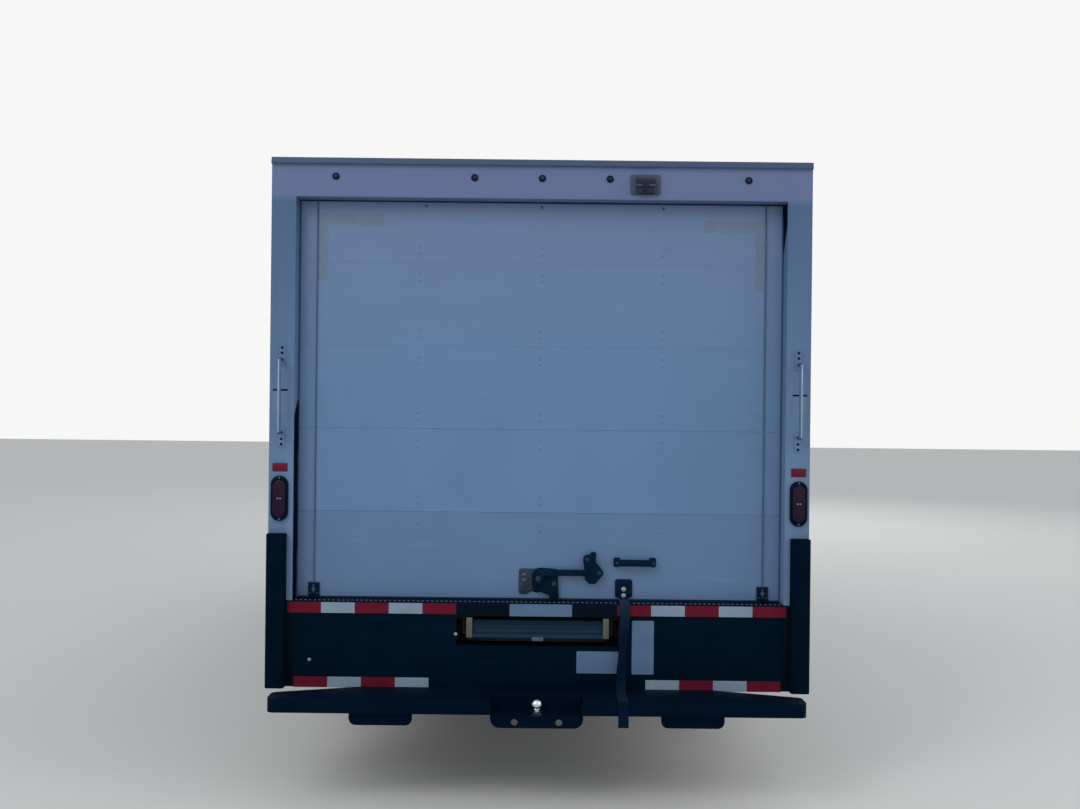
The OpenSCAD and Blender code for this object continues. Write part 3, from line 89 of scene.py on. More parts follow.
class VanColours(bpy.types.PropertyGroup):
    """Colours of the van's finishes."""

    box_paint: colour_prop("Box paint", "Paint of the box and its rear frame", 81, 107, 139)
    post_paint: colour_prop("Post paint", "Sunlit paint at the foot of the rear posts", 104, 130, 162)
    door_paint: colour_prop("Door paint", "Paint of the roll-up door", 90, 123, 162)
    header_paint: colour_prop("Header paint", "Paint of the header above the door", 108, 121, 157)
    drip_paint: colour_prop("Drip rail", "Anodised rail above the door", 64, 79, 104)
    cab_paint: colour_prop("Cab paint", "Paint of the cab", 92, 117, 152)
    apron_paint: colour_prop("Apron paint", "Dark paint of the apron and sill", 1, 15, 29)
    bumper_paint: colour_prop("Bumper paint", "Dark paint of the step bumper", 1, 11, 28)
    guard_rubber: colour_prop("Guard rubber", "Rubber of the dock bumpers", 1, 13, 27)
    red_tape: colour_prop("Red tape", "Red squares of the reflective tape", 101, 23, 43)
    white_tape: colour_prop("White tape", "White squares of the reflective tape", 131, 150, 169)
    tail_red: colour_prop("Tail lens", "Lens of the tail lamps", 27, 17, 33)
    reflector_red: colour_prop("Reflector", "Red reflectors on the posts", 108, 22, 46)
    amber: colour_prop("Amber lens", "Clearance lamps at the front", 214, 128, 28)
    grip_coat: colour_prop("Grab handle", "Coating of the grab handles", 80, 108, 136)
    strap: colour_prop("Strap", "Webbing of the pull strap", 6, 25, 50)
    ramp_metal: colour_prop("Ramp", "Aluminium of the loading ramp", 27, 54, 80)
    ramp_cap: colour_prop("Ramp ends", "Pale ends of the ramp's rails", 84, 85, 72)
    label: colour_prop("Label", "Blank labels", 85, 113, 143)
    lock_metal: colour_prop("Lock", "Dark metal of the door lock", 6, 22, 37)
    residue: colour_prop("Tape marks", "Marks that old tape left on the door", 102, 121, 143)
    steel: colour_prop("Steel", "Bare steel of bolts and cables", 122, 134, 150)
    frame_steel: colour_prop("Frame", "Black paint of the chassis", 22, 24, 27)
    cast: colour_prop("Castings", "Axles and gearbox", 74, 76, 80)
    tyre: colour_prop("Tyre", "Rubber of the tyres", 24, 25, 27)
    rim: colour_prop("Wheel", "Paint of the steel wheels", 196, 200, 206)
    trim: colour_prop("Trim", "Black plastic of mirrors and grille", 20, 22, 25)
    cabin: colour_prop("Cabin", "Plastic of the dashboard", 58, 60, 64)
    fabric: colour_prop("Seat cloth", "Cloth of the seats", 66, 70, 78)
    wood: colour_prop("Load floor", "Hardwood of the load floor", 150, 118, 80)
    studio: colour_prop("Studio floor", "Floor of the stage", 206, 205, 202)


class VanSizes(bpy.types.PropertyGroup):
    """Sizes of the small parts that are added to the frame."""

    tape_segment: FloatProperty(
        name="Tape segment", description="Length of one colour on the tape", default=0.1524, unit="LENGTH"
    )
    tape_height: FloatProperty(
        name="Tape height", description="Height of the reflective tape", default=0.048, unit="LENGTH"
    )
    rivet_radius: FloatProperty(
        name="Rivet radius", description="Radius of the door's hinge rivets", default=0.0065, unit="LENGTH"
    )
    rivet_pitch: FloatProperty(
        name="Rivet pitch", description="Distance between the rails' rivets", default=0.1, unit="LENGTH"
    )
    tread_depth: FloatProperty(
        name="Tread depth", description="Depth of the grooves in the tyres", default=0.009, unit="LENGTH"
    )
    tread_pitches: IntProperty(
        name="Tread pitches", description="Tread blocks round a tyre", default=64, min=24, max=96
    )
    strap_width: FloatProperty(
        name="Strap width", description="Width of the pull strap", default=0.045, unit="LENGTH"
    )
    strap_thickness: FloatProperty(
        name="Strap thickness", description="Thickness of the pull strap", default=0.003, unit="LENGTH"
    )
    edge_round: FloatProperty(
        name="Edge round", description="Rounding of pressed and welded edges", default=0.002, unit="LENGTH"
    )


def paint_of(name):
    return tuple(getattr(bpy.context.scene.van_colours, name))


def size_of(name):
    return getattr(bpy.context.scene.van_sizes, name)


def shade(colour, factor):
    return tuple(min(c * factor, 1.0) for c in colour)


class Finish:
    """A procedural material that is built up layer by layer in the object's own coordinates."""

    def __init__(self, name, colour, roughness, metallic=0.0, coat=0.0, shine=0.5, tint=(1.0, 1.0, 1.0)):
        self.mat = bpy.data.materials.new(name)
        self.mat.use_nodes = True
        self.nodes = self.mat.node_tree.nodes
        self.links = self.mat.node_tree.links
        self.bsdf = self.nodes["Principled BSDF"]
        self.colour = colour
        self.bsdf.inputs["Base Color"].default_value = (*colour, 1.0)
        self.bsdf.inputs["Roughness"].default_value = roughness
        self.bsdf.inputs["Metallic"].default_value = metallic
        self.bsdf.inputs["Coat Weight"].default_value = coat
        self.bsdf.inputs["Specular IOR Level"].default_value = shine
        self.bsdf.inputs["Specular Tint"].default_value = (*tint, 1.0)
        self.coords = self.nodes.new("ShaderNodeTexCoord").outputs["Object"]
        self.base = None
        self.normal = None

    def place(self, stretch):
        """The object's coordinates, stretched so that a pattern runs along one axis."""
        if stretch == (1, 1, 1):
            return self.coords
        mapping = self.nodes.new("ShaderNodeMapping")
        mapping.inputs["Scale"].default_value = stretch
        self.links.new(self.coords, mapping.inputs["Vector"])
        return mapping.outputs["Vector"]

    def noise(self, scale, detail=4.0, stretch=(1, 1, 1)):
        node = self.nodes.new("ShaderNodeTexNoise")
        node.inputs["Scale"].default_value = scale
        node.inputs["Detail"].default_value = detail
        self.links.new(self.place(stretch), node.inputs["Vector"])
        return node.outputs["Fac"]

    def levels(self, value, low, high, out_low=0.0, out_high=1.0):
        node = self.nodes.new("ShaderNodeMapRange")
        node.inputs["From Min"].default_value = low
        node.inputs["From Max"].default_value = high
        node.inputs["To Min"].default_value = out_low
        node.inputs["To Max"].default_value = out_high
        self.links.new(value, node.inputs["Value"])
        return node.outputs["Result"]

    def math(self, kind, first, second):
        node = self.nodes.new("ShaderNodeMath")
        node.operation = kind
        for socket, value in zip(node.inputs, (first, second)):
            if isinstance(value, (int, float)):
                socket.default_value = value
            else:
                self.links.new(value, socket)
        return node.outputs["Value"]

    def axis(self, name):
        node = self.nodes.new("ShaderNodeSeparateXYZ")
        self.links.new(self.coords, node.inputs["Vector"])
        return node.outputs[name]

    def mix_in(self, colour, mask):
        """Lays a colour over what is there, where the mask is 1."""
        node = self.nodes.new("ShaderNodeMix")
        node.data_type = "RGBA"
        first, second = node.inputs[6], node.inputs[7]
        if self.base is None:
            first.default_value = (*self.colour, 1.0)
        else:
            self.links.new(self.base, first)
        second.default_value = (*colour, 1.0)
        self.links.new(mask, node.inputs["Factor"])
        self.base = node.outputs[2]
        self.links.new(self.base, self.bsdf.inputs["Base Color"])
        return self

    def mottle(self, factor, scale, amount=1.0, stretch=(1, 1, 1)):
        """Slow changes of tone, as on sun-faded or dusty paint."""
        mask = self.levels(self.noise(scale, 5.0, stretch), 0.35, 0.68, 0.0, amount)
        return self.mix_in(shade(self.colour, factor), mask)

    def specks(self, colour, scale, threshold, amount=0.7, stretch=(1, 1, 1)):
        """Small chips or spots."""
        mask = self.levels(self.noise(scale, 8.0, stretch), threshold, threshold + 0.04, 0.0, amount)
        return self.mix_in(colour, mask)

    def dust(self, colour, low, high, amount, scale=3.0):
        """Road dust that thins out from the height low up to the height high."""
        height = self.levels(self.axis("Z"), low, high, 1.0, 0.0)
        patch = self.levels(self.noise(scale, 6.0, (1, 1, 2.5)), 0.3, 0.7, 0.25, 1.0)
        both = self.math("MULTIPLY", self.math("MULTIPLY", height, patch), amount)
        return self.mix_in(colour, both)

    def sheen_spread(self, low, high, scale, stretch=(1, 1, 1)):
        """Roughness that changes over the surface."""
        value = self.levels(self.noise(scale, 4.0, stretch), 0.3, 0.7, low, high)
        self.links.new(value, self.bsdf.inputs["Roughness"])
        return self

    def raise_by(self, height, distance, strength=1.0):
        node = self.nodes.new("ShaderNodeBump")
        node.inputs["Strength"].default_value = strength
        node.inputs["Distance"].default_value = distance
        self.links.new(height, node.inputs["Height"])
        if self.normal is not None:
            self.links.new(self.normal, node.inputs["Normal"])
        self.normal = node.outputs["Normal"]
        self.links.new(self.normal, self.bsdf.inputs["Normal"])
        return self

    def grain(self, scale, distance, detail=3.0, stretch=(1, 1, 1), strength=1.0):
        """Fine unevenness, such as orange peel, casting skin or moulded grain."""
        return self.raise_by(self.noise(scale, detail, stretch), distance, strength)

    def cells(self, scale, distance, stretch=(1, 1, 1)):
        """Small pressed cells, as on reflectors and grip plate."""
        node = self.nodes.new("ShaderNodeTexVoronoi")
        node.inputs["Scale"].default_value = scale
        self.links.new(self.place(stretch), node.inputs["Vector"])
        return self.raise_by(node.outputs["Distance"], distance)

    def ribs(self, axis, scale, distance):
        """Straight ribs across one axis."""
        node = self.nodes.new("ShaderNodeTexWave")
        node.wave_type = "BANDS"
        node.bands_direction = axis
        node.inputs["Scale"].default_value = scale
        self.links.new(self.coords, node.inputs["Vector"])
        return self.raise_by(node.outputs["Fac"], distance)


MATERIALS = {}
# The bluish highlights of the dark finishes
NIGHT_TINT = (0.12, 0.5, 0.95)


def finish(name):
    """A finish by name, made once."""
    if name not in MATERIALS:
        MATERIALS[name] = FINISHES[name]().mat
    return MATERIALS[name]


def painted(name, colour, rough=0.42, coat=0.15, shine=0.5):
    made = Finish(name, colour, rough, coat=coat, shine=shine)
    made.bsdf.inputs["Coat Roughness"].default_value = 0.2
    made.mottle(0.9, 1.3, 0.8).mottle(1.07, 4.0, 0.5, (1, 1, 0.25))
    made.sheen_spread(rough - 0.08, rough + 0.1, 2.5)
    return made.grain(420.0, 0.00012)


def box_paint():
    made = painted("box_paint", paint_of("box_paint"))
    made.mottle(0.8, 9.0, 0.25, (1, 1, 0.12))
    return made.dust(shade(paint_of("box_paint"), 0.62), 0.75, 1.5, 0.5)


def frame_paint():
    colour = paint_of("box_paint")
    made = painted("rear_frame_paint", colour, coat=0.0, shine=0.05)
    made.specks(shade(colour, 0.45), 38.0, 0.68, 0.5)
    made.mottle(0.84, 14.0, 0.3, (1, 1, 0.2))
    lighter = made.levels(made.axis("Z"), 2.65, 1.45, 0.1, 0.95)
    made.mix_in(paint_of("post_paint"), lighter)
    header = made.levels(made.axis("Z"), 2.66, 2.69, 0.0, 0.9)
    made.mix_in(paint_of("header_paint"), header)
    rail = made.levels(made.axis("Z"), 2.822, 2.826, 0.0, 0.85)
    made.mix_in(paint_of("drip_paint"), rail)
    below = made.levels(made.axis("Z"), SILL_HIGH + 0.0005, SILL_HIGH + 0.0008, 1.0, 0.0)
    return made.mix_in(paint_of("apron_paint"), below)


def door_paint():
    colour = paint_of("door_paint")
    made = painted("door_paint", colour, 0.4)
    low_panel = made.levels(made.axis("Z"), 1.2565, 1.2568, 1.0, 0.0)
    made.mix_in(shade(colour, 0.84), made.math("MULTIPLY", low_panel, 0.85))
    # Painted shade: the door darkens towards its right side, away from the light
    shade_to_right = made.levels(made.axis("X"), 0.2, 1.1, 0.0, 0.34)
    made.mix_in(shade(colour, 0.8), shade_to_right)
    # Towards the top the door turns to one even tone, over the painted shade
    upper = made.levels(made.axis("Z"), 1.9, 2.6, 0.0, 0.8)
    made.mix_in(linear(97, 118, 153), upper)
    made.specks(shade(colour, 0.6), 55.0, 0.7, 0.45)
    made.mottle(1.12, 2.2, 0.25)
    scuff = made.levels(made.noise(7.0, 7.0, (0.25, 1, 1.6)), 0.6, 0.72, 0.0, 0.35)
    made.mix_in(shade(colour, 1.18), scuff)
    made.grain(1.4, 0.0035, 2.0)
    return made


def cab_paint():
    made = painted("cab_paint", paint_of("cab_paint"), 0.32)
    return made.dust(shade(paint_of("cab_paint"), 0.55), 0.45, 0.95, 0.55)


def dark_paint(name, colour_name, rough):
    colour = paint_of(colour_name)
    made = Finish(name, colour, rough, shine=0.1, tint=NIGHT_TINT)
    made.mottle(1.7, 2.4, 0.5).mottle(0.6, 6.0, 0.5)
    made.specks(shade(colour, 3.2), 46.0, 0.69, 0.4)
    scratch = made.levels(made.noise(16.0, 9.0, (0.15, 1, 1.5)), 0.63, 0.72, 0.0, 0.28)
    made.mix_in(shade(colour, 2.6), scratch)
    made.sheen_spread(rough - 0.12, rough + 0.14, 5.0)
    return made.grain(260.0, 0.0003)


def bumper_paint():
    made = dark_paint("bumper_paint", "bumper_paint", 0.66)
    return made.mottle(1.8, 3.0, 0.3, (0.4, 1, 1))


def guard_rubber():
    colour = paint_of("guard_rubber")
    made = Finish("guard_rubber", colour, 0.7, shine=0.08, tint=NIGHT_TINT)
    made.mottle(1.5, 7.0, 0.6).specks(shade(colour, 2.6), 60.0, 0.68, 0.4)
    return made.grain(180.0, 0.0008, 5.0)


def trim_plastic():
    colour = paint_of("trim")
    made = Finish("trim_plastic", colour, 0.55)
    return made.mottle(1.35, 8.0, 0.5).grain(700.0, 0.0004, 2.0)


def cabin_plastic():
    colour = paint_of("cabin")
    made = Finish("cabin_plastic", colour, 0.62)
    return made.mottle(0.85, 5.0, 0.5).grain(520.0, 0.0006, 2.0)


def lock_metal():
    colour = paint_of("lock_metal")
    made = Finish("lock_metal", colour, 0.5, shine=0.12, tint=NIGHT_TINT)
    made.mottle(1.8, 22.0, 0.6).specks(shade(colour, 4.0), 120.0, 0.66, 0.5)
    return made.grain(240.0, 0.0005)


def bare_steel():
    colour = paint_of("steel")
    made = Finish("bare_steel", colour, 0.38, 0.75)
    made.mottle(0.7, 40.0, 0.5)
    return made.grain(500.0, 0.0002)


def camera_shell():
    made = Finish("camera_shell", linear(66, 78, 92), 0.5, shine=0.2)
    made.mottle(0.7, 30.0, 0.5)
    return made.grain(500.0, 0.0003)


def camera_body():
    made = Finish("camera_body", linear(30, 37, 56), 0.5, shine=0.2)
    made.mottle(1.6, 40.0, 0.5)
    return made.grain(500.0, 0.0003)


def camera_lens():
    made = Finish("camera_lens", linear(6, 12, 30), 0.2, shine=0.3)
    made.mottle(1.2, 60.0, 0.4)
    return made


def camera_band():
    made = Finish("camera_band", linear(84, 86, 106), 0.5, shine=0.2)
    made.mottle(0.9, 40.0, 0.5)
    return made.grain(500.0, 0.0003)


def ball_chrome():
    made = Finish("ball_chrome", linear(205, 214, 226), 0.14, 1.0)
    made.mottle(0.7, 60.0, 0.35)
    return made.sheen_spread(0.08, 0.26, 45.0)


def frame_steel():
    colour = paint_of("frame_steel")
    made = Finish("frame_steel", colour, 0.58)
    made.mottle(1.5, 3.0, 0.6).specks(linear(86, 62, 46), 34.0, 0.68, 0.5)
    made.dust(linear(92, 88, 82), 0.2, 0.9, 0.35)
    return made.grain(160.0, 0.0006)


def cast_metal():
    colour = paint_of("cast")
    made = Finish("cast_metal", colour, 0.66, 0.45)
    made.mottle(0.62, 9.0, 0.7).specks(linear(98, 72, 54), 40.0, 0.64, 0.5)
    return made.grain(120.0, 0.0012, 5.0)


def ramp_metal():
    colour = paint_of("ramp_metal")
    made = Finish("ramp_metal", colour, 0.5, shine=0.15, tint=(0.4, 0.7, 1.0))
    made.mottle(0.6, 6.0, 0.6, (0.4, 1, 1)).specks(shade(colour, 1.7), 70.0, 0.66, 0.5)
    return made.grain(220.0, 0.0004, 4.0, (0.2, 1, 1))


def ramp_plate():
    made = Finish("ramp_plate", linear(15, 38, 56), 0.55, shine=0.12, tint=(0.4, 0.7, 1.0))
    # Painted shade: the plate is darker at its top, in the sill's shadow, and lighter towards its foot
    lit_below_sill_shade = made.levels(made.axis("Z"), 0.775, 0.722, 0.0, 0.9)
    made.mix_in(linear(42, 60, 76), lit_below_sill_shade)
    made.mottle(0.7, 14.0, 0.5, (0.15, 1, 1))
    return made.grain(220.0, 0.0004, 4.0, (0.2, 1, 1))


def ramp_cap():
    colour = paint_of("ramp_cap")
    made = Finish("ramp_cap", colour, 0.5)
    return made.mottle(0.72, 24.0, 0.6).grain(300.0, 0.0003)


def red_tape():
    colour = paint_of("red_tape")
    made = Finish("red_tape", colour, 0.4, shine=0.15, tint=(1.0, 0.3, 0.4))
    made.mottle(0.72, 12.0, 0.6).specks(shade(colour, 0.4), 80.0, 0.69, 0.5)
    return made.cells(420.0, 0.0004)


def white_tape():
    colour = paint_of("white_tape")
    made = Finish("white_tape", colour, 0.4, shine=0.15)
    made.mottle(0.78, 12.0, 0.6).specks(shade(colour, 0.5), 80.0, 0.69, 0.5)
    return made.cells(420.0, 0.0004)


def tail_lens():
    colour = paint_of("tail_red")
    made = Finish("tail_lens", colour, 0.25, shine=0.2, tint=(1.0, 0.6, 0.8))
    band = made.levels(made.axis("Z"), 1.19, 1.45, 0.0, 1.0)
    made.mix_in(shade(colour, 0.55), made.math("MULTIPLY", band, 0.3))
    marker = made.levels(made.axis("Z"), 2.0, 2.01, 0.0, 0.75)
    made.mix_in(linear(44, 54, 76), marker)
    mirror = made.levels(made.axis("Z"), 1.434, 1.435, 0.0, 1.0)
    under = made.levels(made.axis("Z"), 1.484, 1.485, 1.0, 0.0)
    made.mix_in(paint_of("reflector_red"), made.math("MULTIPLY", mirror, under))
    made.mottle(1.3, 30.0, 0.4)
    return made.cells(160.0, 0.0012)


def amber_lens():
    colour = paint_of("amber")
    made = Finish("amber_lens", colour, 0.2, coat=0.5)
    return made.mottle(0.7, 30.0, 0.5).cells(150.0, 0.001)


def lamp_glass():
    made = Finish("lamp_glass", linear(224, 230, 236), 0.06, coat=0.3)
    made.bsdf.inputs["Transmission Weight"].default_value = 0.92
    made.bsdf.inputs["IOR"].default_value = 1.3
    made.mottle(0.92, 20.0, 0.5)
    return made.ribs("X", 26.0, 0.0012)


def cab_glass():
    made = Finish("cab_glass", linear(176, 196, 200), 0.04)
    made.bsdf.inputs["Transmission Weight"].default_value = 0.9
    made.bsdf.inputs["IOR"].default_value = 1.2
    made.mottle(0.85, 1.2, 0.6)
    return made.grain(6.0, 0.0002, 1.0)


def mirror_glass():
    made = Finish("mirror_glass", linear(196, 206, 214), 0.05, 1.0)
    return made.mottle(0.88, 10.0, 0.4)


def grip_coat():
    colour = paint_of("grip_coat")
    made = Finish("grip_coat", colour, 0.36, 0.25)
    made.mottle(0.72, 26.0, 0.5).specks(shade(colour, 0.5), 90.0, 0.68, 0.5)
    return made.grain(420.0, 0.0002)


def grip_foot():
    made = Finish("grip_foot", linear(48, 70, 95), 0.4, 0.2)
    made.mottle(0.8, 26.0, 0.5)
    return made.grain(420.0, 0.0002)


# Painted highlight: a pale finish that stands for the light caught by the grab handles' bars
def grip_edge():
    made = Finish("grip_edge", linear(140, 176, 204), 0.3, 0.2)
    made.mottle(0.8, 26.0, 0.5)
    return made.grain(420.0, 0.0002)


def tyre_rubber():
    colour = paint_of("tyre")
    made = Finish("tyre_rubber", colour, 0.78)
    made.mottle(1.5, 6.0, 0.6).specks(linear(78, 74, 68), 70.0, 0.66, 0.45)
    made.dust(linear(98, 94, 88), 0.0, 0.5, 0.35, 8.0)
    return made.grain(240.0, 0.0006, 4.0)


def rim_paint():
    colour = paint_of("rim")
    made = Finish("rim_paint", colour, 0.38, 0.35)
    made.mottle(0.72, 7.0, 0.6).specks(linear(96, 82, 70), 55.0, 0.68, 0.45)
    made.dust(linear(112, 106, 98), 0.1, 0.62, 0.4, 9.0)
    return made.grain(320.0, 0.0003)


def bumper_bright():
    colour = paint_of("rim")
    made = Finish("bumper_bright", shade(colour, 0.9), 0.3, 0.55)
    made.mottle(0.75, 5.0, 0.5).dust(linear(112, 106, 98), 0.45, 0.75, 0.35)
    return made.grain(260.0, 0.0003)


def load_floor():
    colour = paint_of("wood")
    made = Finish("load_floor", colour, 0.55)
    made.mottle(0.6, 30.0, 0.8, (1, 0.05, 1))
    return made.ribs("X", 8.0, 0.001)


def seat_cloth():
    colour = paint_of("fabric")
    made = Finish("seat_cloth", colour, 0.92)
    made.bsdf.inputs["Sheen Weight"].default_value = 0.25
    made.mottle(0.7, 5.0, 0.5)
    made.ribs("X", 110.0, 0.0008)
    return made.ribs("Z", 140.0, 0.0006)


def webbing():
    colour = paint_of("strap")
    made = Finish("webbing", colour, 0.85, shine=0.06, tint=NIGHT_TINT)
    made.bsdf.inputs["Sheen Weight"].default_value = 0.02
    made.mottle(1.5, 16.0, 0.6).mottle(0.65, 40.0, 0.5)
    # Painted light: the strap gets lighter upwards from 0.72 m, where it hangs out over the sill into the
    # light
    painted_sill_light = made.levels(made.axis("Z"), 0.72, 0.85, 0.0, 0.85)
    made.mix_in(linear(32, 52, 76), painted_sill_light)
    made.ribs("X", 190.0, 0.0006)
    return made.ribs("Z", 150.0, 0.0007)


def label_stock():
    colour = paint_of("label")
    made = Finish("label_stock", colour, 0.42, shine=0.2)
    made.mottle(0.8, 14.0, 0.6).specks(shade(colour, 0.55), 70.0, 0.69, 0.5)
    return made.grain(180.0, 0.0002)


def post_label():
    colour = shade(paint_of("post_paint"), 0.9)
    made = Finish("post_label", colour, 0.4, shine=0.3)
    made.mottle(0.82, 60.0, 0.6)
    return made.grain(180.0, 0.0002)


def tape_residue():
    colour = paint_of("residue")
    made = Finish("tape_residue", colour, 0.6)
    return made.mottle(0.82, 34.0, 0.7).grain(160.0, 0.0006, 6.0)


def side_seal():
    made = Finish("side_seal", linear(64, 84, 110), 0.7, shine=0.1)
    return made.mottle(0.75, 24.0, 0.6, (1, 1, 0.3)).grain(260.0, 0.0008, 4.0, (1, 1, 0.1))


def lock_plate():
    made = Finish("lock_plate", linear(34, 52, 68), 0.5, 0.2, shine=0.3)
    made.mottle(0.55, 28.0, 0.7).specks(linear(76, 88, 94), 70.0, 0.62, 0.6)
    return made.grain(240.0, 0.0005)


def dull_zinc():
    made = Finish("dull_zinc", linear(66, 80, 94), 0.45, 0.2)
    made.mottle(0.72, 90.0, 0.6)
    return made.grain(400.0, 0.0002)


def foot_seal():
    made = Finish("foot_seal", linear(22, 40, 64), 0.7, shine=0.08)
    made.mottle(0.8, 30.0, 0.5)
    return made.grain(300.0, 0.0003)


def zinc():
    made = Finish("zinc", linear(150, 158, 164), 0.4, 0.3)
    made.mottle(0.72, 90.0, 0.6)
    return made.grain(500.0, 0.0002)


def latch_metal():
    made = Finish("latch_metal", linear(62, 84, 98), 0.46, 0.2)
    made.mottle(0.7, 60.0, 0.6)
    return made.grain(300.0, 0.0003)


def cable_wire():
    made = Finish("cable_wire", linear(78, 102, 134), 0.5, shine=0.3)
    made.mottle(0.75, 60.0, 0.5)
    return made.ribs("Z", 180.0, 0.0006)


def radiator_core():
    made = Finish("radiator_core", linear(26, 27, 29), 0.6, 0.3)
    made.mottle(0.6, 12.0, 0.5)
    made.ribs("X", 60.0, 0.002)
    return made.ribs("Z", 240.0, 0.0008)


def chrome_bowl():
    made = Finish("chrome_bowl", linear(226, 230, 234), 0.12, 1.0)
    made.mottle(0.85, 20.0, 0.4)
    return made.cells(90.0, 0.0008)


def dial_glass():
    made = Finish("dial_glass", linear(14, 16, 19), 0.12, coat=0.4)
    made.mottle(1.6, 9.0, 0.5)
    return made.grain(40.0, 0.0001)


def seal_rubber():
    made = Finish("seal_rubber", linear(4, 18, 33), 0.68, shine=0.08, tint=NIGHT_TINT)
    return made.mottle(1.8, 18.0, 0.6).grain(150.0, 0.0008)


FINISHES = {
    "box_paint": box_paint,
    "rear_frame_paint": frame_paint,
    "door_paint": door_paint,
    "cab_paint": cab_paint,
    "apron_paint": lambda: dark_paint("apron_paint", "apron_paint", 0.5),
    "bumper_paint": bumper_paint,
    "guard_rubber": guard_rubber,
    "trim_plastic": trim_plastic,
    "cabin_plastic": cabin_plastic,
    "lock_metal": lock_metal,
    "bare_steel": bare_steel,
    "camera_shell": camera_shell,
    "camera_body": camera_body,
    "camera_lens": camera_lens,
    "camera_band": camera_band,
    "ball_chrome": ball_chrome,
    "frame_steel": frame_steel,
    "cast_metal": cast_metal,
    "ramp_metal": ramp_metal,
    "ramp_plate": ramp_plate,
    "ramp_cap": ramp_cap,
    "red_tape": red_tape,
    "white_tape": white_tape,
    "tail_lens": tail_lens,
    "amber_lens": amber_lens,
    "lamp_glass": lamp_glass,
    "cab_glass": cab_glass,
    "mirror_glass": mirror_glass,
    "grip_coat": grip_coat,
    "grip_edge": grip_edge,
    "grip_foot": grip_foot,
    "tyre_rubber": tyre_rubber,
    "rim_paint": rim_paint,
    "bumper_bright": bumper_bright,
    "load_floor": load_floor,
    "seat_cloth": seat_cloth,
    "webbing": webbing,
    "label_stock": label_stock,
    "post_label": post_label,
    "tape_residue": tape_residue,
    "seal_rubber": seal_rubber,
    "side_seal": side_seal,
    "lock_plate": lock_plate,
    "zinc": zinc,
    "dull_zinc": dull_zinc,
    "foot_seal": foot_seal,
    "latch_metal": latch_metal,
    "cable_wire": cable_wire,
    "radiator_core": radiator_core,
    "chrome_bowl": chrome_bowl,
    "dial_glass": dial_glass,
}

# Mesh building


def round_edges(obj, width, limit):
    """Rounds the edges that are sharper than the limit, in degrees."""
    cut = obj.modifiers.new("edge_round", "BEVEL")
    cut.width = width
    cut.segments = 2
    cut.limit_method = "ANGLE"
    cut.angle_limit = math.radians(limit)


def add_piece(name, bm, finish_name, body, smooth=35.0, bevel=0.0):
    """Turns a bmesh into a piece that rides on a body."""
    bmesh.ops.recalc_face_normals(bm, faces=bm.faces)
    mesh = bpy.data.meshes.new(name)
    bm.to_mesh(mesh)
    bm.free()
    obj = bpy.data.objects.new(name, mesh)
    bpy.context.scene.collection.objects.link(obj)
    mesh.materials.append(finish(finish_name))
    for face in mesh.polygons:
        face.use_smooth = True
    mesh.set_sharp_from_angle(angle=math.radians(smooth))
    if bevel > 0:
        round_edges(obj, bevel, 40)
    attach(obj, body)
    return obj


def put_box(bm, low, high):
    """Adds a box between two corners."""
    size = Vector(high) - Vector(low)
    middle = (Vector(high) + Vector(low)) / 2
    matrix = Matrix.Translation(middle) @ Matrix.Diagonal((*size, 1.0))
    bmesh.ops.create_cube(bm, size=1.0, matrix=matrix)


def join_rings(bm, rings, closed=False):
    """Adds the faces between rings that follow each other, and both ends unless the row is closed."""
    follow = rings[1:] + rings[:1] if closed else rings[1:]
    for low, high in zip(rings, follow):
        for k in range(len(low)):
            n = (k + 1) % len(low)
            bm.faces.new([low[k], low[n], high[n], high[k]])
    if not closed:
        bm.faces.new(rings[0])
        bm.faces.new(list(reversed(rings[-1])))


def rounded_rows(width, height, radius, steps):
    """The outline of a rectangle with rounded corners, about its middle."""
    rows = []
    for across, up, start in ((1, 1, 0), (-1, 1, 90), (-1, -1, 180), (1, -1, 270)):
        for k in range(steps + 1):
            angle = math.radians(start + 90 * k / steps)
            rows.append((
                across * (width / 2 - radius) + radius * math.cos(angle),
                up * (height / 2 - radius) + radius * math.sin(angle),
            ))
    return rows


def facing(axis):
    """A rotation that takes +Z to the given direction."""
    return Vector((0, 0, 1)).rotation_difference(Vector(axis)).to_matrix().to_4x4()


def put_turned(bm, profile, place, axis, steps=16):
    """Adds a turned solid. The profile's columns are [radius, distance along the axis]."""
    matrix = Matrix.Translation(place) @ facing(axis)
    rings = []
    for radius, height in profile:
        if radius < 1e-6:
            rings.append([bm.verts.new(matrix @ Vector((0, 0, height)))])
            continue
        rings.append([
            bm.verts.new(matrix @ Vector((
                radius * math.cos(math.tau * k / steps),
                radius * math.sin(math.tau * k / steps),
                height,
            )))
            for k in range(steps)
        ])
    for low, high in zip(rings, rings[1:]):
        for k in range(steps):
            n = (k + 1) % steps
            corners = [low[k % len(low)], low[n % len(low)], high[n % len(high)], high[k % len(high)]]
            unique = list(dict.fromkeys(corners))
            if len(unique) > 2:
                bm.faces.new(unique)
    for ring in (rings[0], rings[-1]):
        if len(ring) > 2:
            bm.faces.new(ring)


def put_dome(bm, place, axis, radius, height, steps=14):
    """Adds a round rivet head."""
    profile = [
        (radius, 0.0),
        (radius, height * 0.3),
        (radius * 0.86, height * 0.66),
        (radius * 0.5, height * 0.93),
        (0.0, height),
    ]
    put_turned(bm, profile, place, axis, steps)


def put_hex_bolt(bm, place, axis, radius, height):
    """Adds a washer with a hexagon head on it."""
    washer = [(radius * 1.35, 0.0), (radius * 1.35, height * 0.2), (radius, height * 0.24)]
    head = [(radius, height * 0.2), (radius, height * 0.85), (radius * 0.84, height), (0.0, height)]
    put_turned(bm, washer, place, axis, 18)
    put_turned(bm, head, place, axis, 6)


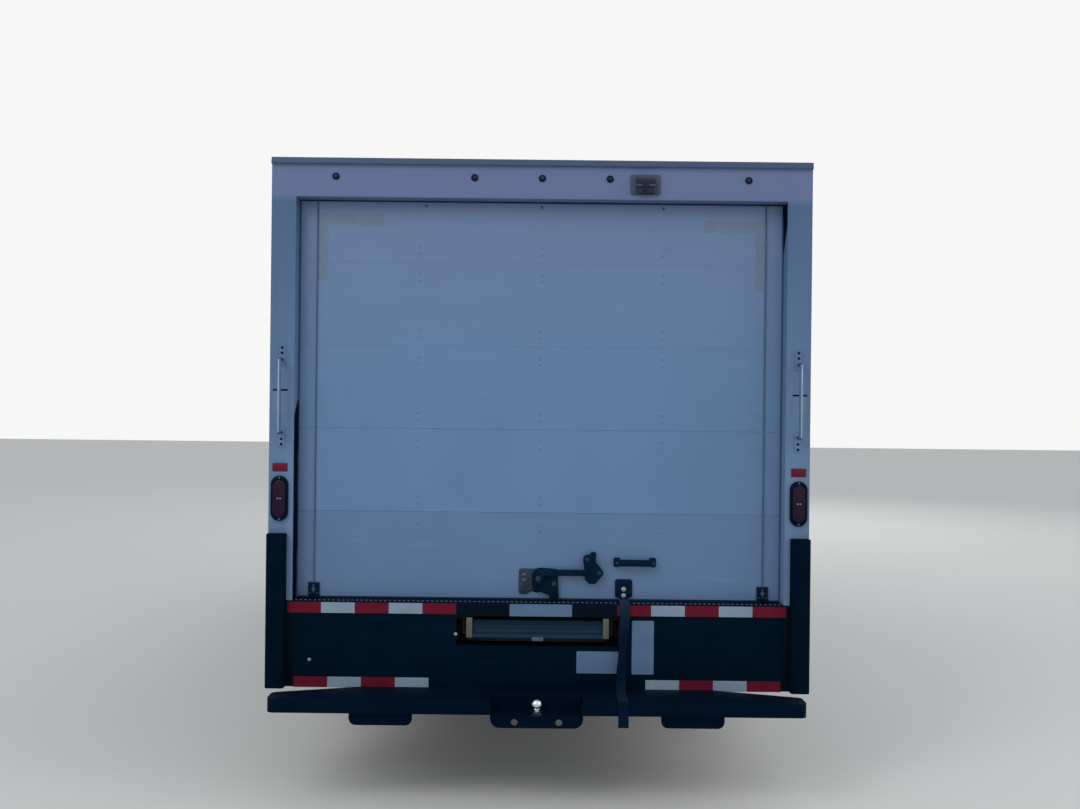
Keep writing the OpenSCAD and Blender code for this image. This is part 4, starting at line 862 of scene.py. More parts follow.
def put_plate(bm, centre, width, height, depth, radius=0.0, steps=4):
    """Adds a plate with rounded corners that faces backwards, with its front face at centre."""
    rows = rounded_rows(width, height, radius, steps)
    near = [bm.verts.new((centre[0] + x, centre[1], centre[2] + z)) for x, z in rows]
    back = [bm.verts.new((centre[0] + x, centre[1] + depth, centre[2] + z)) for x, z in rows]
    join_rings(bm, [near, back])
    bmesh.ops.remove_doubles(bm, verts=near + back, dist=1e-6)


def rounded_loop(corners, radius, steps=6):
    """The outline of a polygon with rounded corners, as points in its plane."""
    line = []
    count = len(corners)
    for k in range(count):
        here = Vector(corners[k])
        before = (Vector(corners[k - 1]) - here).normalized()
        after = (Vector(corners[(k + 1) % count]) - here).normalized()
        reach = radius / math.tan(before.angle(after) / 2)
        start = here + before * reach
        end = here + after * reach
        for n in range(steps + 1):
            t = n / steps
            line.append((1 - t) ** 2 * start + 2 * t * (1 - t) * here + t * t * end)
    return line


def spread_loop(loop, step):
    """A closed line with more points along its long runs."""
    line = []
    for k, here in enumerate(loop):
        ahead = loop[(k + 1) % len(loop)]
        count = max(1, round((ahead - here).length / step))
        line += [here.lerp(ahead, n / count) for n in range(count)]
    return line


def put_tube(bm, points, radius, steps=10, closed=False):
    """Adds a round bar along a line of points, or a closed ring of it."""
    line = [Vector(p) for p in points]
    last = len(line) - 1
    turns = [math.tau * n / steps for n in range(steps)]
    rings = []
    side = None
    for k, here in enumerate(line):
        if closed:
            ahead = (line[(k + 1) % len(line)] - line[k - 1]).normalized()
        else:
            ahead = (line[min(k + 1, last)] - line[max(k - 1, 0)]).normalized()
        if side is None:
            side = ahead.orthogonal().normalized()
        else:
            side = (side - ahead * side.dot(ahead)).normalized()
        up = ahead.cross(side)
        rings.append([bm.verts.new(here + radius * (math.cos(a) * side + math.sin(a) * up)) for a in turns])
    join_rings(bm, rings, closed)


def put_slab(bm, outline, left, right):
    """Adds a flat slab across X. The outline's columns are [Y, Z]."""
    near = [bm.verts.new((left, y, z)) for y, z in outline]
    away = [bm.verts.new((right, y, z)) for y, z in outline]
    join_rings(bm, [near, away])


def smooth_group(angle):
    """A node group that joins a node's faces and keeps only its edges sharper than the angle."""
    name = f"smooth_{angle:.0f}"
    if name in bpy.data.node_groups:
        return bpy.data.node_groups[name]
    group = bpy.data.node_groups.new(name, "GeometryNodeTree")
    group.interface.new_socket("Geometry", in_out="INPUT", socket_type="NodeSocketGeometry")
    group.interface.new_socket("Geometry", in_out="OUTPUT", socket_type="NodeSocketGeometry")
    enter = group.nodes.new("NodeGroupInput")
    leave = group.nodes.new("NodeGroupOutput")
    drop = group.nodes.new("GeometryNodeRemoveAttribute")
    drop.inputs["Name"].default_value = "custom_normal"
    faces = group.nodes.new("GeometryNodeSetShadeSmooth")
    edges = group.nodes.new("GeometryNodeSetShadeSmooth")
    edges.domain = "EDGE"
    edges.inputs["Shade Smooth"].default_value = False
    bend = group.nodes.new("GeometryNodeInputMeshEdgeAngle")
    limit = group.nodes.new("FunctionNodeCompare")
    limit.data_type = "FLOAT"
    limit.operation = "GREATER_THAN"
    limit.inputs["B"].default_value = math.radians(angle)
    link = group.links.new
    link(enter.outputs[0], drop.inputs["Geometry"])
    link(drop.outputs[0], faces.inputs["Geometry"])
    link(faces.outputs[0], edges.inputs["Geometry"])
    link(bend.outputs["Unsigned Angle"], limit.inputs["A"])
    link(limit.outputs["Result"], edges.inputs["Selection"])
    link(edges.outputs[0], leave.inputs[0])
    return group


# The starts of the names of the nodes with long bent faces, which need normals weighted by face area
LONG_FACED = ("cab_", "door_left", "door_right", "door_glass", "fender", "hood", "nose")


def dress(node_name, finish_name, bevel=0.0, angle=32.0):
    """Gives a CAD node its finish, soft shading and slightly rounded edges."""
    obj = NODES[node_name]
    obj.data.materials.clear()
    obj.data.materials.append(finish(finish_name))
    weld = obj.modifiers.new("weld", "WELD")
    weld.merge_threshold = 0.00002
    if bevel > 0:
        flat = obj.modifiers.new("flat_faces", "DECIMATE")
        flat.decimate_type = "DISSOLVE"
        flat.angle_limit = math.radians(0.6)
        flat.delimit = {"MATERIAL"}
        round_edges(obj, bevel, 38)
    soft = obj.modifiers.new("soft_shading", "NODES")
    soft.node_group = smooth_group(angle)
    if node_name.startswith(LONG_FACED):
        even = obj.modifiers.new("even_shading", "WEIGHTED_NORMAL")
        even.keep_sharp = True
    return obj


def dress_faces(node_name, finish_name, picks):
    """Gives some faces of a dressed CAD node another finish. The test gets a face's middle and normal."""
    obj = NODES[node_name]
    obj.data.materials.append(finish(finish_name))
    number = len(obj.data.materials) - 1
    for face in obj.data.polygons:
        if picks(obj.matrix_world @ face.center, face.normal):
            face.material_index = number


def standing(place, out, up=(0, 0, 1)):
    """A frame at a place on a surface: X runs along it, Y up it and Z out of it."""
    z = Vector(out).normalized()
    x = Vector(up).cross(z).normalized()
    y = z.cross(x)
    turn = Matrix((x, y, z)).transposed().to_4x4()
    return Matrix.Translation(place) @ turn


def put_pad(bm, matrix, width, height, depth, radius=0.0, steps=4):
    """Adds a plate with rounded corners that stands out of a surface by its depth."""
    rows = rounded_rows(width, height, radius, steps)
    low = [bm.verts.new(matrix @ Vector((x, y, 0.0))) for x, y in rows]
    high = [bm.verts.new(matrix @ Vector((x, y, depth))) for x, y in rows]
    join_rings(bm, [low, high])
    bmesh.ops.remove_doubles(bm, verts=low + high, dist=1e-6)


# Operators, one for each group of pieces


class VanOperator(bpy.types.Operator):
    """Base of the van's operators."""

    bl_options = {"REGISTER", "UNDO"}

    def execute(self, context):
        self.build(context)
        return {"FINISHED"}


class VAN_OT_camera(VanOperator):
    """Sets the camera behind the van, at the height of a standing viewer"""

    bl_idname = "van.camera"
    bl_label = "Camera"
    # Metres behind the rear frame, metres above the ground and roll in degrees
    DISTANCE = 5.0
    HEIGHT = 1.754
    ROLL = -0.63

    def build(self, context):
        data = bpy.data.cameras.new("viewer")
        data.sensor_width = 36.0
        data.lens = 37.0
        data.clip_end = 200.0
        camera = bpy.data.objects.new("viewer", data)
        camera.location = (0.0, REAR_Y - self.DISTANCE, self.HEIGHT)
        camera.rotation_euler = (math.radians(90), math.radians(self.ROLL), 0.0)
        context.scene.collection.objects.link(camera)
        context.scene.camera = camera


# Places of the pull strap, in metres
STEP_TOP = 0.477
STRAP_X = 0.391
STRAP_END_X = STRAP_X - 0.018
STRAP_LIFT = STEP_TOP + 0.004
# The strap's route from its clamp plate, over the sill and the bumper. Columns are [X, Y, Z].
STRAP_ROUTE = (
    (STRAP_X, DOOR_Y - 0.0025, 0.914),
    (STRAP_X, DOOR_Y - 0.0025, 0.876),
    (STRAP_X, DOOR_Y - 0.0042, 0.870),
    (STRAP_X, DOOR_Y - 0.010, 0.8668),
    (STRAP_X, DOOR_Y - 0.024, 0.866),
    (STRAP_X, REAR_Y + 0.012, 0.866),
    (STRAP_X, REAR_Y + 0.002, 0.865),
    (STRAP_X, REAR_Y - 0.006, 0.860),
    (STRAP_X, REAR_Y - 0.011, 0.850),
    (STRAP_X, REAR_Y - 0.014, 0.836),
    (STRAP_X, REAR_Y - 0.017, 0.800),
    (STRAP_X - 0.004, REAR_Y - 0.020, 0.720),
    (STRAP_X - 0.009, REAR_Y - 0.024, 0.640),
    (STRAP_X - 0.014, REAR_Y - 0.030, 0.560),
    (STRAP_X - 0.016, REAR_Y - 0.042, 0.508),
    (STRAP_END_X, REAR_Y - 0.066, STRAP_LIFT + 0.004),
    (STRAP_END_X, REAR_Y - 0.110, STRAP_LIFT),
    (STRAP_END_X, BUMPER_Y + 0.030, STRAP_LIFT),
    (STRAP_END_X, BUMPER_Y + 0.012, STRAP_LIFT),
    (STRAP_END_X, BUMPER_Y - 0.001, STRAP_LIFT - 0.0014),
    (STRAP_END_X, BUMPER_Y - 0.005, STRAP_LIFT - 0.008),
    (STRAP_END_X, BUMPER_Y - 0.005, STRAP_LIFT - 0.054),
    (STRAP_END_X, BUMPER_Y - 0.005, STRAP_LIFT - 0.112),
)


def fine_line(points, steps):
    """A smooth line through points, with steps places between each two."""
    line = []
    last = len(points) - 1
    for k in range(last):
        a = Vector(points[max(k - 1, 0)])
        b = Vector(points[k])
        c = Vector(points[k + 1])
        d = Vector(points[min(k + 2, last)])
        for n in range(steps):
            t = n / steps
            line.append(0.5 * (2 * b + (c - a) * t + (2 * a - 5 * b + 4 * c - d) * t * t
                               + (3 * b - a - 3 * c + d) * t * t * t))
    line.append(Vector(points[-1]))
    return line


class VAN_OT_pull_strap(VanOperator):
    """Hangs the webbing strap that pulls the roll-up door shut"""

    bl_idname = "van.pull_strap"
    bl_label = "Pull strap"

    def build(self, context):
        width = size_of("strap_width")
        thick = size_of("strap_thickness")
        line = fine_line(STRAP_ROUTE, 6)
        bm = bmesh.new()
        across = (-0.5, -0.46, -0.3, -0.1, 0.1, 0.3, 0.46, 0.5)
        rings = []
        for k, here in enumerate(line):
            ahead = (line[min(k + 1, len(line) - 1)] - line[max(k - 1, 0)]).normalized()
            out = Vector((1, 0, 0)).cross(ahead).normalized()
            hang = max(0.0, 1.0 - abs(here.z - 0.64) / 0.14)
            turn = math.radians(34) * hang * hang * (3 - 2 * hang)
            side = math.cos(turn) * Vector((1, 0, 0)) + math.sin(turn) * out
            face = math.cos(turn) * out - math.sin(turn) * Vector((1, 0, 0))
            top, low = [], []
            for u in across:
                half = thick / 2 * (0.55 if abs(u) > 0.48 else 1.0)
                top.append(bm.verts.new(here + side * u * width + face * half))
                low.append(bm.verts.new(here + side * u * width - face * half))
            rings.append(top + list(reversed(low)))
        join_rings(bm, rings)
        strap = add_piece("pull_strap_webbing", bm, "webbing", "chassis")
        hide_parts("pull_strap")


class VAN_OT_box_body(VanOperator):
    """Paints the box body and its rear frame"""

    bl_idname = "van.box_body"
    bl_label = "Box body"

    def build(self, context):
        for name in ("box_sides", "box_front", "box_roof"):
            dress(name, "box_paint", size_of("edge_round"))
        dress("rear_frame", "rear_frame_paint", size_of("edge_round"))
        dress("rollup_door", "door_paint")
        dress("box_floor", "load_floor")
        dress("floor_frame", "frame_steel")
        dress("apron", "apron_paint")
        dress("dock_bumpers", "guard_rubber", 0.004)
        dress("lift_cables", "lock_metal")
        dress_faces("lift_cables", "cable_wire", lambda at, out: at.z > 0.931)
        dress("door_hardware", "lock_metal", 0.0012)
        dress_faces("door_hardware", "lock_plate", lambda at, out: at.y > DOOR_Y - 0.0065 and at.x < -0.02)
        dress("lock_lever", "lock_metal", 0.0012)
        dress("lamp_grommets", "seal_rubber", 0.0015)
        dress("red_lamps", "tail_lens", 0.002)
        dress("amber_lamps", "amber_lens", 0.003)
        dress("rear_camera", "camera_shell", 0.001)
        dress_faces("rear_camera", "camera_body", lambda at, out: at.y < REAR_Y - 0.0075)
        dress("grab_handles", "grip_coat")
        dress_faces("grab_handles", "rear_frame_paint", lambda at, out: at.y > REAR_Y - 0.0045)
        # Painted highlight: the bars' faces that look back and outwards get the pale highlight finish
        dress_faces("grab_handles", "grip_edge", lambda at, out: at.y < REAR_Y - 0.02 and abs(out.z) < 0.3
                    and 0.35 * math.copysign(out.x, out.x * at.x) - 0.94 * out.y > 0.93)
        bar_low, bar_high = 1.622, 1.939
        dress_faces("grab_handles", "grip_foot",
                    lambda at, out: at.y < REAR_Y - 0.0045 and not bar_low < at.z < bar_high)
        dress("mud_flaps", "trim_plastic", 0.002)
        dress("ramp", "ramp_metal", 0.001)
        ramp_low, ramp_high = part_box("ramp")
        rail = ramp_high.x - 0.0275
        dress_faces("ramp", "ramp_cap",
                    lambda at, out: out.y < -0.9 and abs(at.x) > rail and at.y < ramp_low.y + 0.02)
        dress_faces("ramp", "latch_metal", lambda at, out: abs(at.x) < 0.027 and at.y < ramp_low.y + 0.005)
        dress("rear_bumper", "bumper_paint", 0.002)
        dress("hitch_ball", "ball_chrome", 0.0, 40.0)


class VAN_OT_chassis(VanOperator):
    """Finishes the ladder frame, axles, powertrain and exhaust"""

    bl_idname = "van.chassis"
    bl_label = "Chassis"

    def build(self, context):
        for name in ("ladder_frame", "springs", "cab_floor"):
            dress(name, "frame_steel")
        for name in ("front_axle", "knuckle_left", "knuckle_right", "tie_rod", "rear_axle", "powertrain"):
            dress(name, "cast_metal")
        dress("exhaust", "bare_steel")
        dress("fuel_tank", "trim_plastic")
        for name in ("front_rim_left", "front_rim_right", "rear_rims_left", "rear_rims_right"):
            dress(name, "rim_paint")


class VAN_OT_cab(VanOperator):
    """Paints the cab and finishes its trim and glass"""

    bl_idname = "van.cab"
    bl_label = "Cab"

    def build(self, context):
        panels = ("cab_shell", "cab_sides", "fenders", "nose_panel", "hood", "door_left", "door_right")
        for name in panels:
            dress(name, "cab_paint", size_of("edge_round"))
        dress("firewall", "trim_plastic")
        dress("grille", "trim_plastic")
        dress("headlamps", "lamp_glass")
        dress("front_bumper", "bumper_bright", 0.004)
        for name in ("windshield", "door_glass_left", "door_glass_right"):
            dress(name, "cab_glass")
        for name in ("mirror_left", "mirror_right"):
            dress(name, "trim_plastic", 0.003)
        dress("dashboard", "cabin_plastic", 0.004)
        dress("steering_wheel", "trim_plastic")


class VAN_OT_tape(VanOperator):
    """Sticks the red and white reflective tape on the sill and apron"""

    bl_idname = "van.tape"
    bl_label = "Reflective tape"

    def build(self, context):
        segment = size_of("tape_segment")
        height = size_of("tape_height")
        # Columns: left end in X, middle in Z, face in Y, colours from left to right
        runs = (
            (-1.129, 0.8295, REAR_Y, "RWRWR"),
            (0.358, 0.8295, REAR_Y, "RWRWR"),
            (-1.098, 0.4935, APRON_Y, "RWRW"),
            (0.488, 0.4935, APRON_Y, "WRWR"),
        )
        made = {"R": bmesh.new(), "W": bmesh.new()}
        for left, middle, face, colours in runs:
            for k, colour in enumerate(colours):
                low = (left + k * segment + 0.0004, face - 0.0009, middle - height / 2)
                high = (left + (k + 1) * segment - 0.0004, face - 0.0001, middle + height / 2)
                put_box(made[colour], low, high)
        add_piece("red_tape", made["R"], "red_tape", "chassis")
        add_piece("white_tape", made["W"], "white_tape", "chassis")


class VAN_OT_labels(VanOperator):
    """Adds the blank labels on the sill, apron and posts"""

    bl_idname = "van.labels"
    bl_label = "Blank labels"

    def build(self, context):
        # Columns: left, right, low, high, face in Y
        plates = (
            (0.177, 0.371, 0.545, 0.644, APRON_Y),
            (0.4255, 0.5245, 0.5425, 0.7845, APRON_Y),
            (-0.127, 0.1545, 0.799, 0.854, REAR_Y),
        )
        bm = bmesh.new()
        for left, right, low, high, face in plates:
            middle = ((left + right) / 2, face - 0.0007, (low + high) / 2)
            put_plate(bm, middle, right - left, high - low, 0.0006, 0.004)
        add_piece("blank_labels", bm, "label_stock", "chassis")
        posts = bmesh.new()
        edges = bmesh.new()
        post_x, label_z, edge_z = 1.170, 1.758, 1.807
        width = 0.066
        for sign in (-1, 1):
            put_plate(posts, (sign * post_x, REAR_Y - 0.0006, label_z), width, 0.098, 0.0005, 0.003)
            put_plate(edges, (sign * post_x, REAR_Y - 0.0008, edge_z), width, 0.008, 0.0006, 0.001)
        add_piece("post_labels", posts, "post_label", "chassis")
        add_piece("post_label_edges", edges, "seal_rubber", "chassis")


class VAN_OT_door_details(VanOperator):
    """Adds rivets, panel joints, tape marks, bolts and cable hooks to the roll-up door and the apron"""

    bl_idname = "van.door_details"
    bl_label = "Door details"
    # Heights of the seams between the door's panels
    SEAMS = (1.255, 1.635, 2.015, 2.395)

    def build(self, context):
        self.rivets()
        self.joints()
        self.tape_marks()
        self.bright_bolts()
        self.lock_bolts()
        self.cable_hooks()

    def rivets(self):
        rivet = size_of("rivet_radius")
        rise = 0.0028
        bm = bmesh.new()
        for seam in self.SEAMS:
            for x in (-0.558, 0.0, 0.558):
                for dz in (-0.078, -0.046, 0.046, 0.078):
                    put_dome(bm, (x, DOOR_Y, seam + dz), BACK, rivet, rise)
        stops = bmesh.new()
        for x in (-0.53, 0.0, 0.555):
            put_dome(stops, (x, DOOR_Y, 2.655), BACK, rivet, rise)
        add_piece("door_top_screws", stops, "latch_metal", "chassis")
        add_piece("door_rivets", bm, "door_paint", "chassis")

    def joints(self):
        bm = bmesh.new()
        end = 1.099
        # How deep each seam's joint lies under the door's face
        for seam, deep in zip(self.SEAMS, (0.0014, 0.0011, 0.0004, 0.0004)):
            half = 0.0040 - deep
            middle = seam + 0.00025
            face = DOOR_Y + deep
            put_box(bm, (-end, face, middle - half), (end, face + 0.002, middle + half))
        add_piece("panel_joints", bm, "door_paint", "chassis")

    def tape_marks(self):
        bm = bmesh.new()
        self.mark(bm, -1.018, -0.724, 2.592, 0.052)
        self.mark(bm, 0.745, 1.018, 2.575, 0.052)
        self.upright_mark(bm, -0.998, 2.312, 2.560, 0.04)
        self.upright_mark(bm, 0.998, 2.285, 2.543, 0.038)
        add_piece("tape_marks", bm, "tape_residue", "chassis")

    def bright_bolts(self):
        bolts = bmesh.new()
        for x, z in ((-1.027, 0.594), (-0.369, 0.716)):
            put_hex_bolt(bolts, (x, APRON_Y, z), BACK, 0.0055, 0.006)
        for z in (0.885, 0.914):
            put_dome(bolts, (STRAP_X, DOOR_Y - 0.009, z), BACK, 0.0105, 0.004, 18)
        add_piece("bright_bolts", bolts, "zinc", "chassis")
        rivets = bmesh.new()
        for x, z in ((-0.064, 0.975), (-0.062, 0.9505)):
            put_dome(rivets, (x, DOOR_Y - 0.006, z), BACK, 0.0095, 0.004, 18)
        add_piece("plate_rivets", rivets, "dull_zinc", "chassis")

    def lock_bolts(self):
        dull = bmesh.new()
        put_turned(dull, [(0.0125, 0.0), (0.0125, 0.001), (0.0105, 0.002), (0.0, 0.002)],
                   (0.0, DOOR_Y - 0.042, 0.962), BACK, 20)
        put_dome(dull, (0.0725, DOOR_Y - 0.018, 0.936), BACK, 0.011, 0.003, 16)
        pull_x, pull_half = 0.441, 0.082
        for x in (pull_x - pull_half, pull_x + pull_half):
            put_dome(dull, (x, DOOR_Y - 0.040, 1.037), BACK, 0.006, 0.002)
        add_piece("lock_bolts", dull, "lock_plate", "chassis")
        lever = bmesh.new()
        for x, z in ((0.223, 1.051), (0.277, 0.990)):
            put_hex_bolt(lever, (x, DOOR_Y - 0.036, z), BACK, 0.007, 0.006)
        add_piece("lever_bolts", lever, "lock_plate", "lock_lever")

    def cable_hooks(self):
        hooks = bmesh.new()
        for sign in (-1, 1):
            middle = Vector((sign * 1.025, DOOR_Y - 0.012, 0.900))
            put_hex_bolt(hooks, middle, BACK, 0.0065, 0.006)
            put_tube(hooks, [middle + Vector((0, -0.002, dz)) for dz in (-0.016, 0.0, 0.024)], 0.003, 8)
            for dx in (-0.017, 0.017):
                put_dome(hooks, middle + Vector((dx, 0, -0.019)), BACK, 0.0035, 0.002, 10)
        add_piece("cable_hooks", hooks, "dull_zinc", "chassis")

    def mark(self, bm, left, right, middle, height):
        self.patch(bm, left, right, middle - height / 2, middle + height / 2, 14, 2)

    def upright_mark(self, bm, middle, low, high, width):
        self.patch(bm, middle - width / 2, middle + width / 2, low, high, 2, 14)

    def patch(self, bm, left, right, low, high, columns, rows):
        """A thin torn-edged patch on the door's face."""
        grid = []
        for r in range(rows + 1):
            line = []
            for c in range(columns + 1):
                edge = 0.004 if r in (0, rows) or c in (0, columns) else 0.0
                wave = math.sin(11.3 * r + 4.7 * c) * edge
                x = left + (right - left) * c / columns + (wave if c in (0, columns) else 0.0)
                z = low + (high - low) * r / rows + (wave if r in (0, rows) else 0.0)
                line.append(bm.verts.new((x, DOOR_Y - 0.0004, z)))
            grid.append(line)
        for a, b in zip(grid, grid[1:]):
            for c in range(columns):
                bm.faces.new([a[c], a[c + 1], b[c + 1], b[c]])


class VAN_OT_ramp_end(VanOperator):
    """Closes the end of the ramp with a ribbed plate"""

    bl_idname = "van.ramp_end"
    bl_label = "Ramp end plate"

    def build(self, context):
        ramp_low, ramp_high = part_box("ramp")
        face = ramp_low.y + 0.020
        low, high = ramp_high.z - 0.0735, ramp_high.z - 0.012
        half = ramp_high.x - 0.0275
        bm = bmesh.new()
        put_plate(bm, (0.0, face, (low + high) / 2), 2 * half, high - low, 0.004, 0.001)
        for share in (0.12, 0.42, 0.72, 0.97):
            z = low + (high - low) * share
            put_box(bm, (-half, face - 0.0025, z - 0.0016), (half, face, z + 0.0016))
        add_piece("ramp_end_plate", bm, "ramp_plate", "ramp", bevel=0.0006)


class VAN_OT_frame_details(VanOperator):
    """Adds jamb seals, handle bolts, lamp screws, grip dots and the camera's face to the rear frame"""

    bl_idname = "van.frame_details"
    bl_label = "Rear frame details"

    def build(self, context):
        self.seals()
        self.grip_dots()
        self.handle_bolts()
        self.lamp_screws()
        self.camera_front()

    def camera_front(self):
        low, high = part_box("rear_camera")
        middle = (low + high) / 2
        left, right = middle.x - 0.042, middle.x + 0.042
        face = REAR_Y - 0.028
        # How far the light band stands out of the housing
        lip = 0.009
        housing, band, lens = (bmesh.new() for _ in range(3))
        put_box(housing, (left, face, middle.z - 0.041), (right, REAR_Y - 0.006, middle.z - 0.008))
        add_piece("camera_housing", housing, "camera_body", "chassis", bevel=0.002)
        put_box(band, (left, face - lip, middle.z - 0.009), (right, face, middle.z - 0.003))
        add_piece("camera_band", band, "camera_band", "chassis", bevel=0.001)
        put_dome(lens, (middle.x - 0.004, face, middle.z - 0.0255), BACK, 0.010, 0.005, 24)
        add_piece("camera_lens", lens, "camera_lens", "chassis", 60.0)

    def seals(self):
        jamb = 1.1078
        foot, end = 0.8605, 1.098
        near, deep = REAR_Y + 0.006, DOOR_Y - 0.003
        bm = bmesh.new()
        self.flap(bm, -jamb, 1, near, deep, foot, 1.70, 1.768)
        self.flap(bm, jamb, -1, near, deep, 2.672, 2.58, 2.455)
        add_piece("jamb_seals", bm, "seal_rubber", "chassis")
        brush = bmesh.new()
        for sign in (-1, 1):
            edges = sorted((sign * 1.1003, sign * 1.1075))
            put_box(brush, (edges[0], DOOR_Y + 0.0005, 0.862), (edges[1], DOOR_Y + 0.004, 2.676))
        add_piece("side_seals", brush, "side_seal", "chassis")
        strip = bmesh.new()
        # The strip leaves a gap for the pull strap
        for left, right in ((-end, STRAP_X - 0.026), (STRAP_X + 0.026, end)):
            put_box(strip, (left, DOOR_Y - 0.002, foot), (right, DOOR_Y - 0.0002, 0.8685))
        add_piece("door_foot_seal", strip, "foot_seal", "chassis")

    def flap(self, bm, x, inward, near, deep, low, shoulder, top):
        """A wavy rubber flap on a jamb, cut to a point at its top."""
        rows, columns = 60, 6
        grid = []
        for r in range(rows + 1):
            z = low + (top - low) * r / rows
            cut = min(max((z - shoulder) / (top - shoulder), 0.0), 0.97)
            start = near + (deep - near) * cut
            line = []
            for c in range(columns + 1):
                y = start + (deep - start) * c / columns
                # A long and a short wave in the rubber
                bulge = 0.0032 + 0.0014 * math.sin(13.0 * z + 24.0 * y) + 0.0008 * math.sin(41.0 * z)
                line.append(bm.verts.new((x + inward * bulge, y, z)))
            grid.append(line)
        faces = []
        for a, b in zip(grid, grid[1:]):
            for c in range(columns):
                faces.append(bm.faces.new([a[c], a[c + 1], b[c + 1], b[c]]))
        bmesh.ops.solidify(bm, geom=faces, thickness=0.0012)

    def grip_dots(self):
        bm = bmesh.new()
        count = 104
        end = 1.092
        for k in range(count):
            x = -end + 2 * end * k / (count - 1)
            if abs(x - STRAP_X) > 0.03:
                put_dome(bm, (x, REAR_Y + 0.014, SILL_HIGH), (0, 0, 1), 0.0055, 0.003, 10)
        add_piece("sill_grip_dots", bm, "cable_wire", "chassis")

    def handle_bolts(self):
        bm = bmesh.new()
        handle_x, foot_z = 1.163, (1.575, 1.986)
        for sign in (-1, 1):
            for middle in foot_z:
                for dz in (-0.012, 0.012):
                    put_dome(bm, (sign * handle_x, REAR_Y - 0.004, middle + dz), BACK, 0.0062, 0.004)
        add_piece("handle_bolts", bm, "lock_metal", "chassis")

    def lamp_screws(self):
        bm = bmesh.new()
        marks = bmesh.new()
        lamp_x, lamp_z = 1.168, 1.319
        for sign in (-1, 1):
            for dz in (-0.0925, 0.0925):
                put_dome(bm, (sign * lamp_x, REAR_Y - 0.012, lamp_z + dz), BACK, 0.0045, 0.002, 10)
            for dx in (-0.006, 0.006):
                put_dome(marks, (sign * lamp_x + dx, REAR_Y - 0.017, lamp_z), BACK, 0.0042, 0.0012, 10)
        add_piece("lamp_screws", bm, "cable_wire", "chassis")
        add_piece("lens_pips", marks, "tape_residue", "chassis")


# Places across the tread: where the shoulder blocks start, where they thin out and where the middle ribs end
SHOULDER, CORNER, MIDDLE = 0.0582, 0.1, 0.048


def tread_profile():
    """Half of a tyre's section outside the rim.

    Columns: [radius, place across, cut]. A cut is False for none, True for sipes and "deep" for a groove.
    """
    r = TYRE_R
    return (
        (0.2036, 0.0735, False), (0.2165, 0.0735, False), (0.226, 0.086, False), (0.243, 0.1005, False),
        (0.262, 0.1075, False), (0.268, 0.1085, False), (0.272, 0.1115, False), (0.290, 0.1118, False),
        (0.310, 0.1116, False), (0.330, 0.110, False), (0.343, 0.1075, False), (0.346, 0.1082, False),
        (0.357, 0.1042, True), (r - 0.008, 0.0985, True), (r - 0.003, 0.090, True),
        (r - 0.0008, 0.078, True), (r - 0.0004, 0.066, True), (r - 0.0004, 0.0585, True),
        (r - 0.0004, 0.0575, "deep"), (r - 0.0004, 0.0485, "deep"), (r, 0.0475, True), (r, 0.032, True),
        (r, 0.0205, True), (r, 0.0195, "deep"), (r, 0.0105, "deep"), (r, 0.0095, True),
    )


def tyre_mesh(bm, x, y):
    """Adds one tyre with ribs, shoulder blocks and sipes, turning about X."""
    depth = size_of("tread_depth")
    pitches = size_of("tread_pitches")
    steps = pitches * 4
    half = tread_profile()
    section = [(r, -w, kind) for r, w, kind in half] + [(r, w, kind) for r, w, kind in reversed(half)]
    rings = []
    for k in range(steps):
        angle = math.tau * k / steps
        ring = []
        for r, w, kind in section:
            out = r
            phase = (k + (2 if w < 0 else 0)) % 4
            if kind == "deep":
                out = r - depth
            elif kind and abs(w) > SHOULDER and phase == 0:
                out = r - depth * (0.9 if abs(w) < CORNER else 0.5)
            elif kind and abs(w) < MIDDLE and phase == 1:
                out = r - depth * 0.6
            ring.append(bm.verts.new((x + w, y + out * math.sin(angle), TYRE_R - out * math.cos(angle))))
        rings.append(ring)
    join_rings(bm, rings, True)


class VAN_OT_wheels(VanOperator):
    """Builds tyres with tread and adds wheel nuts"""

    bl_idname = "van.wheels"
    bl_label = "Tyres and nuts"
    # Middles of the tyres and faces of the wheel discs, in X
    FRONT_TYRE_X = (0.850,)
    REAR_TYRE_X = (0.802, 1.058)
    FRONT_DISC_X = 0.908
    REAR_DISC_X = 0.942
    NUT_COUNT = 8
    NUT_CIRCLE = 0.098

    def build(self, context):
        for side, sign in SIDES:
            self.tyres(f"front_tyre_{side}", f"front_wheel_{side}", sign, self.FRONT_TYRE_X, FRONT_AXLE_Y)
            self.tyres(f"rear_tyres_{side}", f"rear_wheels_{side}", sign, self.REAR_TYRE_X, REAR_AXLE_Y)
            self.nuts(f"front_nuts_{side}", f"front_wheel_{side}", sign, self.FRONT_DISC_X, FRONT_AXLE_Y)
            self.nuts(f"rear_nuts_{side}", f"rear_wheels_{side}", sign, self.REAR_DISC_X, REAR_AXLE_Y)

    def tyres(self, node, body, sign, places, y):
        bm = bmesh.new()
        for x in places:
            tyre_mesh(bm, sign * x, y)
        tyre = add_piece(f"{node}_tread", bm, "tyre_rubber", body, 28.0)
        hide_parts(node)

    def nuts(self, name, body, sign, face, y):
        bm = bmesh.new()
        for k in range(self.NUT_COUNT):
            angle = math.tau * (k + 0.5) / self.NUT_COUNT
            place = (
                sign * face,
                y + self.NUT_CIRCLE * math.cos(angle),
                TYRE_R + self.NUT_CIRCLE * math.sin(angle),
            )
            put_hex_bolt(bm, place, (sign, 0, 0), 0.0155, 0.026)
        add_piece(name, bm, "bare_steel", body)


# Shape of the cab's skin, in metres
BELT_Z = 1.330
GLASS_FOOT_Y = 2.800
GLASS_LEAN = 0.7746
GLASS_OUT = Vector((0.0, 0.7906, 0.6124))
